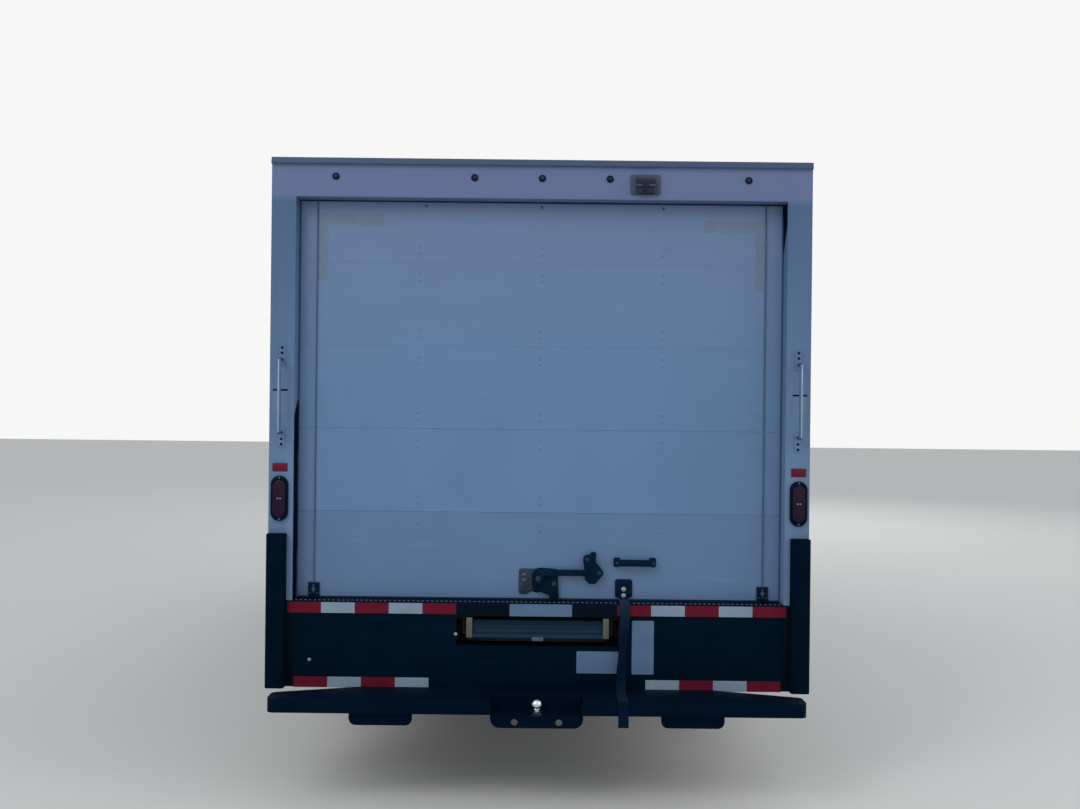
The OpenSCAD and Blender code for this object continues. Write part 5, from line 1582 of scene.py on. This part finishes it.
# Half widths from the foot of the skin to its roof. Columns are [Z, half width].
SKIN_ROWS = ((0.470, 0.955), (0.800, 1.012), (BELT_Z, 0.985), (2.068, 0.852))


def skin_x(z):
    """Half the width of the cab's skin at a height."""
    for (low, wide), (high, next_wide) in zip(SKIN_ROWS, SKIN_ROWS[1:]):
        if z <= high:
            break
    return wide + (next_wide - wide) * (z - low) / (high - low)


def on_windshield(x, z, lift):
    """A place over the windshield's plane, lifted out of it."""
    return Vector((x, GLASS_FOOT_Y - GLASS_LEAN * (z - BELT_Z), z)) + GLASS_OUT * lift


class VAN_OT_cab_trim(VanOperator):
    """Adds seals, inner sills, wipers, door handles, mirror glass, lamp bowls and the radiator"""

    bl_idname = "van.cab_trim"
    bl_label = "Cab trim"
    # Corners of the window in the door. Columns are [Y, Z].
    WINDOW_EDGE = ((1.635, 1.370), (2.485, 1.370), (2.485, 1.4966), (2.169, 1.894), (1.635, 1.894))
    # The line of the door opening's seal, 4 mm outside the door's edge. Columns are [Y, Z].
    DOOR_EDGE = (
        (1.556, 0.516), (2.427, 0.516), (2.564, 0.789), (2.564, 1.538), (2.234, 1.964), (1.556, 1.964),
    )
    SEAL_RADIUS = 0.011
    # From the outside of the cab's skin to the middle of the seal
    SEAL_DEPTH = 0.048
    # The panel between the cab's floor and the foot of the door opening. Columns are [Y, Z].
    INNER_SILL = ((1.500, 0.490), (2.430, 0.490), (2.520, 0.652), (1.500, 0.652))
    INNER_SILL_X = (0.892, 0.900)

    def build(self, context):
        self.windshield()
        for side, sign in SIDES:
            self.door(side, sign)
        self.lamps()

    def windshield(self):
        corners = ((-0.800, 1.385), (0.800, 1.385), (0.705, 1.985), (-0.705, 1.985))
        seal = bmesh.new()
        line = [on_windshield(x, z, -0.004) for x, z in rounded_loop(corners, 0.07)]
        put_tube(seal, line, 0.009, 8, True)
        add_piece("windshield_seal", seal, "seal_rubber", "chassis")
        wipers = bmesh.new()
        # Columns: the pivot, the arm's end and the two ends of the blade in X
        for pivot, end, left, right in ((-0.60, -0.22, -0.50, 0.05), (0.05, 0.42, 0.16, 0.68)):
            put_turned(wipers, [(0.016, -0.01), (0.016, 0.016), (0.012, 0.022), (0.0, 0.024)],
                       on_windshield(pivot, 1.366, 0.0), GLASS_OUT, 16)
            arm = (on_windshield(pivot, 1.366, 0.016), on_windshield((pivot + end) / 2, 1.404, 0.022),
                   on_windshield(end, 1.437, 0.012))
            put_tube(wipers, fine_line(arm, 6), 0.006, 8)
            low, high = on_windshield(left, 1.428, 0.002), on_windshield(right, 1.446, 0.002)
            middle = (low + high) / 2
            put_tube(wipers, (low, middle, high), 0.0055, 8)
            spine = (low + GLASS_OUT * 0.004, middle + GLASS_OUT * 0.012, high + GLASS_OUT * 0.004)
            put_tube(wipers, fine_line(spine, 8), 0.0035, 8)
        add_piece("wipers", wipers, "trim_plastic", "chassis")

    def door(self, side, sign):
        body = f"door_{side}"
        self.door_seals(side, sign, body)
        self.inner_sill(side, sign)
        self.door_handle(side, sign, body)
        self.mirror_glass(side, sign, body)

    def door_seals(self, side, sign, body):
        loop = [Vector((sign * (skin_x(z) - 0.003), y, z)) for y, z in rounded_loop(self.WINDOW_EDGE, 0.05)]
        seal = bmesh.new()
        put_tube(seal, loop, 0.007, 8, True)
        add_piece(f"window_seal_{side}", seal, "seal_rubber", body)
        edge = spread_loop(rounded_loop(self.DOOR_EDGE, 0.078), 0.06)
        line = [Vector((sign * (skin_x(z) - self.SEAL_DEPTH), y, z)) for y, z in edge]
        opening = bmesh.new()
        put_tube(opening, line, self.SEAL_RADIUS, 8, True)
        add_piece(f"door_seal_{side}", opening, "seal_rubber", "chassis")

    def inner_sill(self, side, sign):
        sill = bmesh.new()
        put_slab(sill, self.INNER_SILL, *(sign * x for x in self.INNER_SILL_X))
        add_piece(f"inner_sill_{side}", sill, "trim_plastic", "chassis", bevel=0.002)

    def door_handle(self, side, sign, body):
        handle_y, handle_z = 1.70, 1.20
        out = (sign, 0, 0.051)
        surface = standing((sign * skin_x(handle_z), handle_y, handle_z), out)
        grip = bmesh.new()
        put_pad(grip, surface, 0.176, 0.062, 0.003, 0.022)
        put_pad(grip, surface @ Matrix.Translation((0.0, 0.004, 0.014)), 0.150, 0.026, 0.012, 0.0125)
        for dx in (-0.056, 0.056):
            put_pad(grip, surface @ Matrix.Translation((dx, 0.004, 0.002)), 0.026, 0.020, 0.016, 0.008)
        put_turned(grip, [(0.010, 0.002), (0.010, 0.005), (0.008, 0.007), (0.0, 0.007)],
                   surface @ Vector((0.0, -0.019, 0.0)), out, 16)
        add_piece(f"door_handle_{side}", grip, "trim_plastic", body, bevel=0.002)

    def mirror_glass(self, side, sign, body):
        mirror_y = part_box(f"mirror_{side}")[0].y
        glass = bmesh.new()
        put_plate(glass, (sign * 1.202, mirror_y - 0.0012, 1.41), 0.17, 0.27, 0.001, 0.035, 6)
        add_piece(f"mirror_glass_{side}", glass, "mirror_glass", body)

    def lamps(self):
        # Turned profiles of the reflector and the bulb, [radius, distance ahead]
        dish = (
            (0.0, -0.056), (0.030, -0.050), (0.058, -0.030), (0.076, -0.010), (0.085, 0.0),
            (0.088, -0.001), (0.078, -0.014), (0.060, -0.036), (0.030, -0.057), (0.0, -0.062),
        )
        bulb = ((0.012, -0.055), (0.012, -0.030), (0.009, -0.022), (0.0, -0.019))
        ahead = (0, 1, 0)
        lamp_z = 0.8925
        bowls, bulbs, turns, backs, core = (bmesh.new() for _ in range(5))
        for sign in (-1, 1):
            bowl = (sign * 0.700, 3.560, lamp_z)
            put_turned(bowls, dish, bowl, ahead, 40)
            put_turned(bulbs, bulb, bowl, ahead, 16)
            put_dome(turns, (sign * 0.820, 3.500, lamp_z), ahead, 0.030, 0.040, 28)
            put_pad(backs, standing((sign * 0.730, 3.486, lamp_z), ahead), 0.25, 0.185, 0.010, 0.02)
        add_piece("lamp_bowls", bowls, "chrome_bowl", "chassis", 60.0)
        add_piece("lamp_bulbs", bulbs, "zinc", "chassis")
        add_piece("turn_lamps", turns, "amber_lens", "chassis", 60.0)
        add_piece("lamp_backs", backs, "trim_plastic", "chassis")
        put_box(core, (-0.53, 3.440, 0.74), (0.53, 3.475, 1.02))
        for x in (-0.55, 0.55):
            put_box(core, (x - 0.02, 3.435, 0.73), (x + 0.02, 3.480, 1.03))
        add_piece("radiator", core, "radiator_core", "chassis", bevel=0.002)


class VAN_OT_dash_details(VanOperator):
    """Adds dials, vents, the radio and the glove box to the dashboard"""

    bl_idname = "van.dash_details"
    bl_label = "Dashboard details"
    # A line along the dashboard's face, and the way that the face looks
    FACE_Y = 2.405
    FACE_Z = 1.105
    FACE_OUT = (0, -0.94, -0.346)

    def build(self, context):
        dark, glass, rings, lid = (bmesh.new() for _ in range(4))
        self.dials(dark, glass, rings)
        self.vents(dark)
        self.radio(dark, glass)
        self.glove_box(dark, lid)
        add_piece("dash_trim", dark, "trim_plastic", "chassis")
        add_piece("dash_glass", glass, "dial_glass", "chassis")
        add_piece("dial_rings", rings, "zinc", "chassis")
        add_piece("glove_box_lid", lid, "cabin_plastic", "chassis")

    def on_face(self, x):
        """A frame on the dashboard's face, X along it and Z out of it."""
        return standing((x, self.FACE_Y, self.FACE_Z), self.FACE_OUT)

    def dials(self, dark, glass, rings):
        top = standing((-0.47, 2.455, 1.255), (0, -0.543, 0.84))
        put_pad(dark, top, 0.36, 0.135, 0.012, 0.03)
        put_pad(dark, top @ Matrix.Translation((0.0, 0.064, 0.0)), 0.37, 0.018, 0.060, 0.008)
        put_pad(glass, top @ Matrix.Translation((0.0, -0.006, 0.012)), 0.32, 0.100, 0.002, 0.024)
        turns = [math.tau * k / 32 for k in range(32)]
        for dx, radius in ((-0.118, 0.028), (-0.046, 0.042), (0.046, 0.042), (0.118, 0.028)):
            hub = top @ Matrix.Translation((dx, -0.006, 0.014))
            circle = [hub @ Vector((radius * math.cos(a), radius * math.sin(a), 0.0)) for a in turns]
            put_tube(rings, circle, 0.0018, 6, True)
            needle = (hub @ Vector((0.0, 0.0, 0.002)), hub @ Vector((-radius * 0.5, radius * 0.6, 0.002)))
            put_tube(rings, needle, 0.0012, 6)

    def vents(self, dark):
        for x in (-0.80, -0.175, 0.175, 0.80):
            vent = self.on_face(x)
            put_pad(dark, vent, 0.110, 0.070, 0.006, 0.012)
            for dy in (-0.022, -0.0075, 0.0075, 0.022):
                put_pad(dark, vent @ Matrix.Translation((0.0, dy, 0.006)), 0.096, 0.007, 0.004, 0.002)

    def radio(self, dark, glass):
        radio = self.on_face(0.0)
        put_pad(glass, radio @ Matrix.Translation((0.0, 0.020, 0.0)), 0.200, 0.060, 0.005, 0.006)
        knob = [(0.017, 0.0), (0.017, 0.004), (0.014, 0.006), (0.013, 0.018), (0.0, 0.019)]
        for dx in (-0.07, 0.0, 0.07):
            put_turned(dark, knob, radio @ Vector((dx, -0.038, 0.0)), self.FACE_OUT, 20)

    def glove_box(self, dark, lid):
        glove = self.on_face(0.475)
        put_pad(lid, glove, 0.400, 0.120, 0.005, 0.015)
        put_pad(dark, glove @ Matrix.Translation((0.0, 0.042, 0.005)), 0.090, 0.020, 0.007, 0.006)


def bake(obj):
    """Turns what an object's modifiers make into its own mesh."""
    depsgraph = bpy.context.evaluated_depsgraph_get()
    mesh = bpy.data.meshes.new_from_object(obj.evaluated_get(depsgraph))
    obj.modifiers.clear()
    obj.data = mesh


# The cloth simulation that stuffs the seats: its length in frames and the air's pressure
SWELL_FRAMES = 20
SWELL_PRESSURE = 4.0


def swell(obj, voxel, cap, rests):
    """Stuffs a closed cover with air. It stays put where rests is true and moves by the cap at most."""
    even = obj.modifiers.new("even_mesh", "REMESH")
    even.mode = "VOXEL"
    even.voxel_size = voxel
    bake(obj)
    start = [vert.co.copy() for vert in obj.data.vertices]
    held = obj.vertex_groups.new(name="held")
    held.add([n for n, at in enumerate(start) if rests(at)], 1.0, "REPLACE")
    cloth = obj.modifiers.new("cover", "CLOTH")
    cloth.settings.use_pressure = True
    cloth.settings.uniform_pressure_force = SWELL_PRESSURE
    cloth.settings.effector_weights.gravity = 0.0
    cloth.settings.vertex_group_mass = "held"
    for number in range(1, SWELL_FRAMES + 1):
        bpy.context.scene.frame_set(number)
    bake(obj)
    bpy.context.scene.frame_set(1)
    for vert, first in zip(obj.data.vertices, start):
        move = vert.co - first
        if move.length > cap:
            vert.co = first + move * (cap / move.length)


class VAN_OT_seats(VanOperator):
    """Stuffs the two seats, with sewn channels, on bases of painted steel"""

    bl_idname = "van.seats"
    bl_label = "Seats"

    SEAT_X = 0.470
    REAR = 1.551
    CUSHION_Z = 0.915
    # The cover's mesh size and how far it may swell
    COVER_VOXEL = 0.011
    COVER_SWELL = 0.020
    # Sewn channels: their places as shares of the half width, their depth and their width
    SEAMS = (-0.62, -0.2, 0.2, 0.62)
    SEAM_DEPTH = 0.007
    SEAM_WIDTH = 0.011

    def build(self, context):
        rear, base = self.REAR, self.CUSHION_Z
        # Outlines seen from the side, [Y, Z]
        cushion = ((rear + 0.075, base - 0.080), (rear + 0.530, base - 0.058), (rear + 0.530, base + 0.046),
                   (rear + 0.075, base + 0.030))
        back = ((rear + 0.075, base + 0.050), (rear + 0.238, base + 0.056), (rear + 0.118, base + 0.588),
                (rear + 0.024, base + 0.588))
        head = ((rear + 0.030, base + 0.630), (rear + 0.100, base + 0.630), (rear + 0.100, base + 0.780),
                (rear + 0.030, base + 0.780))
        self.pair("seat_cushion", cushion, 0.225, 0.034, lambda at: at.z < base - 0.045,
                  lambda at, out: out.z > 0.3)
        self.pair("seat_back", back, 0.225, 0.034, lambda at: at.z < base + 0.07,
                  lambda at, out: out.y > 0.3)
        self.pair("headrest", head, 0.108, 0.028, lambda at: at.z < base + 0.635,
                  lambda at, out: False)
        self.bases(rear, base)

    def pair(self, name, outline, half, rounding, rests, sewn):
        """Makes one stuffed piece and its twin on the other side."""
        loop = rounded_loop(outline, rounding)
        middle = sum(loop, Vector((0.0, 0.0))) / len(loop)
        # Columns: place across as a share of the half width, size of the section there
        sections = ((-1.0, 0.80), (-0.97, 0.92), (-0.88, 1.0), (0.88, 1.0), (0.97, 0.92), (1.0, 0.80))
        bm = bmesh.new()
        rings = []
        for across, size in sections:
            rings.append([bm.verts.new((across * half, *(middle + (p - middle) * size))) for p in loop])
        join_rings(bm, rings)
        bmesh.ops.recalc_face_normals(bm, faces=bm.faces)
        mesh = bpy.data.meshes.new(name)
        bm.to_mesh(mesh)
        bm.free()
        cover = bpy.data.objects.new(name, mesh)
        bpy.context.scene.collection.objects.link(cover)
        swell(cover, self.COVER_VOXEL, self.COVER_SWELL, rests)
        self.sew(cover.data, half, sewn)
        for side, sign in SIDES:
            seat = bmesh.new()
            seat.from_mesh(cover.data)
            bmesh.ops.translate(seat, verts=seat.verts, vec=(sign * self.SEAT_X, 0.0, 0.0))
            piece = add_piece(f"{name}_{side}", seat, "seat_cloth", "chassis", 80.0)
            finer = piece.modifiers.new("finer", "SUBSURF")
            finer.levels = 1
            finer.render_levels = 1
            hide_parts("seats")
        bpy.data.objects.remove(cover)

    def sew(self, mesh, half, sewn):
        """Presses sewn channels into the sides that are sat on."""
        moves = []
        for vert in mesh.vertices:
            depth = 0.0
            if sewn(vert.co, vert.normal):
                for seam in self.SEAMS:
                    aside = (vert.co.x - seam * half) / self.SEAM_WIDTH
                    depth += self.SEAM_DEPTH * math.exp(-aside ** 2)
            moves.append(vert.normal * depth)
        for vert, move in zip(mesh.vertices, moves):
            vert.co -= move

    def bases(self, rear, base):
        steel = bmesh.new()
        for sign in (-1, 1):
            x = sign * self.SEAT_X
            put_box(steel, (x - 0.2, rear + 0.13, 0.6805), (x + 0.2, rear + 0.49, base - 0.072))
            for dx in (-0.06, 0.06):
                post = [(x + dx, rear + 0.066, base + dz) for dz in (0.570, 0.605, 0.640)]
                put_tube(steel, post, 0.008, 10)
        add_piece("seat_bases", steel, "frame_steel", "chassis", bevel=0.006)


class VAN_OT_box_rivets(VanOperator):
    """Adds post strips and rows of rivets to the sides of the box"""

    bl_idname = "van.box_rivets"
    bl_label = "Box rivets"

    def build(self, context):
        pitch = size_of("rivet_pitch")
        start, end = -3.38, 1.20
        sheet = BOX_HALF - 0.008
        heads, strips = bmesh.new(), bmesh.new()
        rail_count = round((end - start) / pitch)
        posts = 7
        thick = 0.0014
        radius, rise = 0.006, 0.0026
        for sign in (-1, 1):
            out = (sign, 0, 0)
            for k in range(rail_count + 1):
                y = start + (end - start) * k / rail_count
                for rail_z in (0.812, 2.790):
                    put_dome(heads, (sign * BOX_HALF, y, rail_z), out, radius, rise, 8)
            for post in range(1, posts):
                y = start + (end - start) * post / posts
                put_pad(strips, standing((sign * sheet, y, 1.812), out), 0.052, 1.84, thick)
                for k in range(19):
                    put_dome(heads, (sign * (sheet + thick), y, 0.93 + 0.098 * k), out, radius, rise, 8)
        add_piece("box_rivets", heads, "box_paint", "chassis")
        add_piece("post_strips", strips, "box_paint", "chassis")


class VAN_OT_stage(VanOperator):
    """Builds the pale floor, the backdrop and the soft studio light"""

    bl_idname = "van.stage"
    bl_label = "Stage"
    # Columns: name, place, what it points at, diameter, power
    LAMPS = (
        ("key", (-5.0, -9.0, 7.5), (0.0, -2.0, 1.3), 5.0, 260.0),
        ("fill", (7.0, -6.0, 5.0), (0.0, -2.0, 1.2), 5.0, 130.0),
        ("front", (4.0, 10.0, 7.0), (0.0, 2.0, 1.0), 6.0, 260.0),
    )
    FLOOR_HALF = 40
    SKY_LIGHT = (0.9, 0.95, 1.0, 1.0)
    SKY_STRENGTH = 0.72
    BACKDROP = (0.93, 0.93, 0.925, 1.0)

    def build(self, context):
        self.floor(context)
        self.world(context)
        for row in self.LAMPS:
            self.lamp(context, *row)
        context.scene.view_settings.view_transform = "Standard"

    def floor(self, context):
        bm = bmesh.new()
        half = self.FLOOR_HALF
        corners = ((-half, -half, 0), (half, -half, 0), (half, half, 0), (-half, half, 0))
        bm.faces.new([bm.verts.new(corner) for corner in corners])
        mesh = bpy.data.meshes.new("studio_floor")
        bm.to_mesh(mesh)
        bm.free()
        floor = bpy.data.objects.new("studio_floor", mesh)
        context.scene.collection.objects.link(floor)
        made = Finish("studio_floor", paint_of("studio"), 0.8)
        made.mottle(0.97, 0.5, 0.6).grain(60.0, 0.0003)
        mesh.materials.append(made.mat)

    def world(self, context):
        world = bpy.data.worlds.new("studio")
        context.scene.world = world
        world.use_nodes = True
        nodes, links = world.node_tree.nodes, world.node_tree.links
        light = nodes["Background"]
        light.inputs["Color"].default_value = self.SKY_LIGHT
        light.inputs["Strength"].default_value = self.SKY_STRENGTH
        white = nodes.new("ShaderNodeBackground")
        white.inputs["Color"].default_value = self.BACKDROP
        path = nodes.new("ShaderNodeLightPath")
        mix = nodes.new("ShaderNodeMixShader")
        seen = path.outputs["Is Camera Ray"]
        for ray in ("Is Glossy Ray", "Is Transmission Ray"):
            either = nodes.new("ShaderNodeMath")
            either.operation = "MAXIMUM"
            links.new(seen, either.inputs[0])
            links.new(path.outputs[ray], either.inputs[1])
            seen = either.outputs["Value"]
        links.new(seen, mix.inputs["Fac"])
        links.new(light.outputs["Background"], mix.inputs[1])
        links.new(white.outputs["Background"], mix.inputs[2])
        links.new(mix.outputs["Shader"], nodes["World Output"].inputs["Surface"])

    def lamp(self, context, name, place, target, size, power):
        data = bpy.data.lights.new(name, "AREA")
        data.shape = "DISK"
        data.size = size
        data.energy = power
        lamp = bpy.data.objects.new(name, data)
        lamp.location = place
        aim = Vector(target) - Vector(place)
        lamp.rotation_euler = aim.to_track_quat("-Z", "Y").to_euler()
        context.scene.collection.objects.link(lamp)


class VAN_PT_panel(bpy.types.Panel):
    """Lists the van's operators in the sidebar"""

    bl_idname = "VAN_PT_panel"
    bl_label = "Cutaway van"
    bl_space_type = "VIEW_3D"
    bl_region_type = "UI"
    bl_category = "Van"

    def draw(self, context):
        for operator in OPERATORS:
            self.layout.operator(operator.bl_idname)
        for group in (context.scene.van_colours, context.scene.van_sizes):
            column = self.layout.column()
            for name in group.__annotations__:
                column.prop(group, name)


OPERATORS = (
    VAN_OT_camera,
    VAN_OT_pull_strap,
    VAN_OT_box_body,
    VAN_OT_chassis,
    VAN_OT_cab,
    VAN_OT_tape,
    VAN_OT_labels,
    VAN_OT_door_details,
    VAN_OT_ramp_end,
    VAN_OT_frame_details,
    VAN_OT_wheels,
    VAN_OT_cab_trim,
    VAN_OT_dash_details,
    VAN_OT_seats,
    VAN_OT_box_rivets,
    VAN_OT_stage,
)
CLASSES = (VanColours, VanSizes, *OPERATORS, VAN_PT_panel)


def register():
    for cls in CLASSES:
        bpy.utils.register_class(cls)
    bpy.types.Scene.van_colours = PointerProperty(type=VanColours)
    bpy.types.Scene.van_sizes = PointerProperty(type=VanSizes)


def unregister():
    del bpy.types.Scene.van_sizes
    del bpy.types.Scene.van_colours
    for cls in reversed(CLASSES):
        bpy.utils.unregister_class(cls)


def main():
    register()
    for operator in OPERATORS:
        group, name = operator.bl_idname.split(".")
        getattr(getattr(bpy.ops, group), name)()


if __name__ == "__main__":
    main()
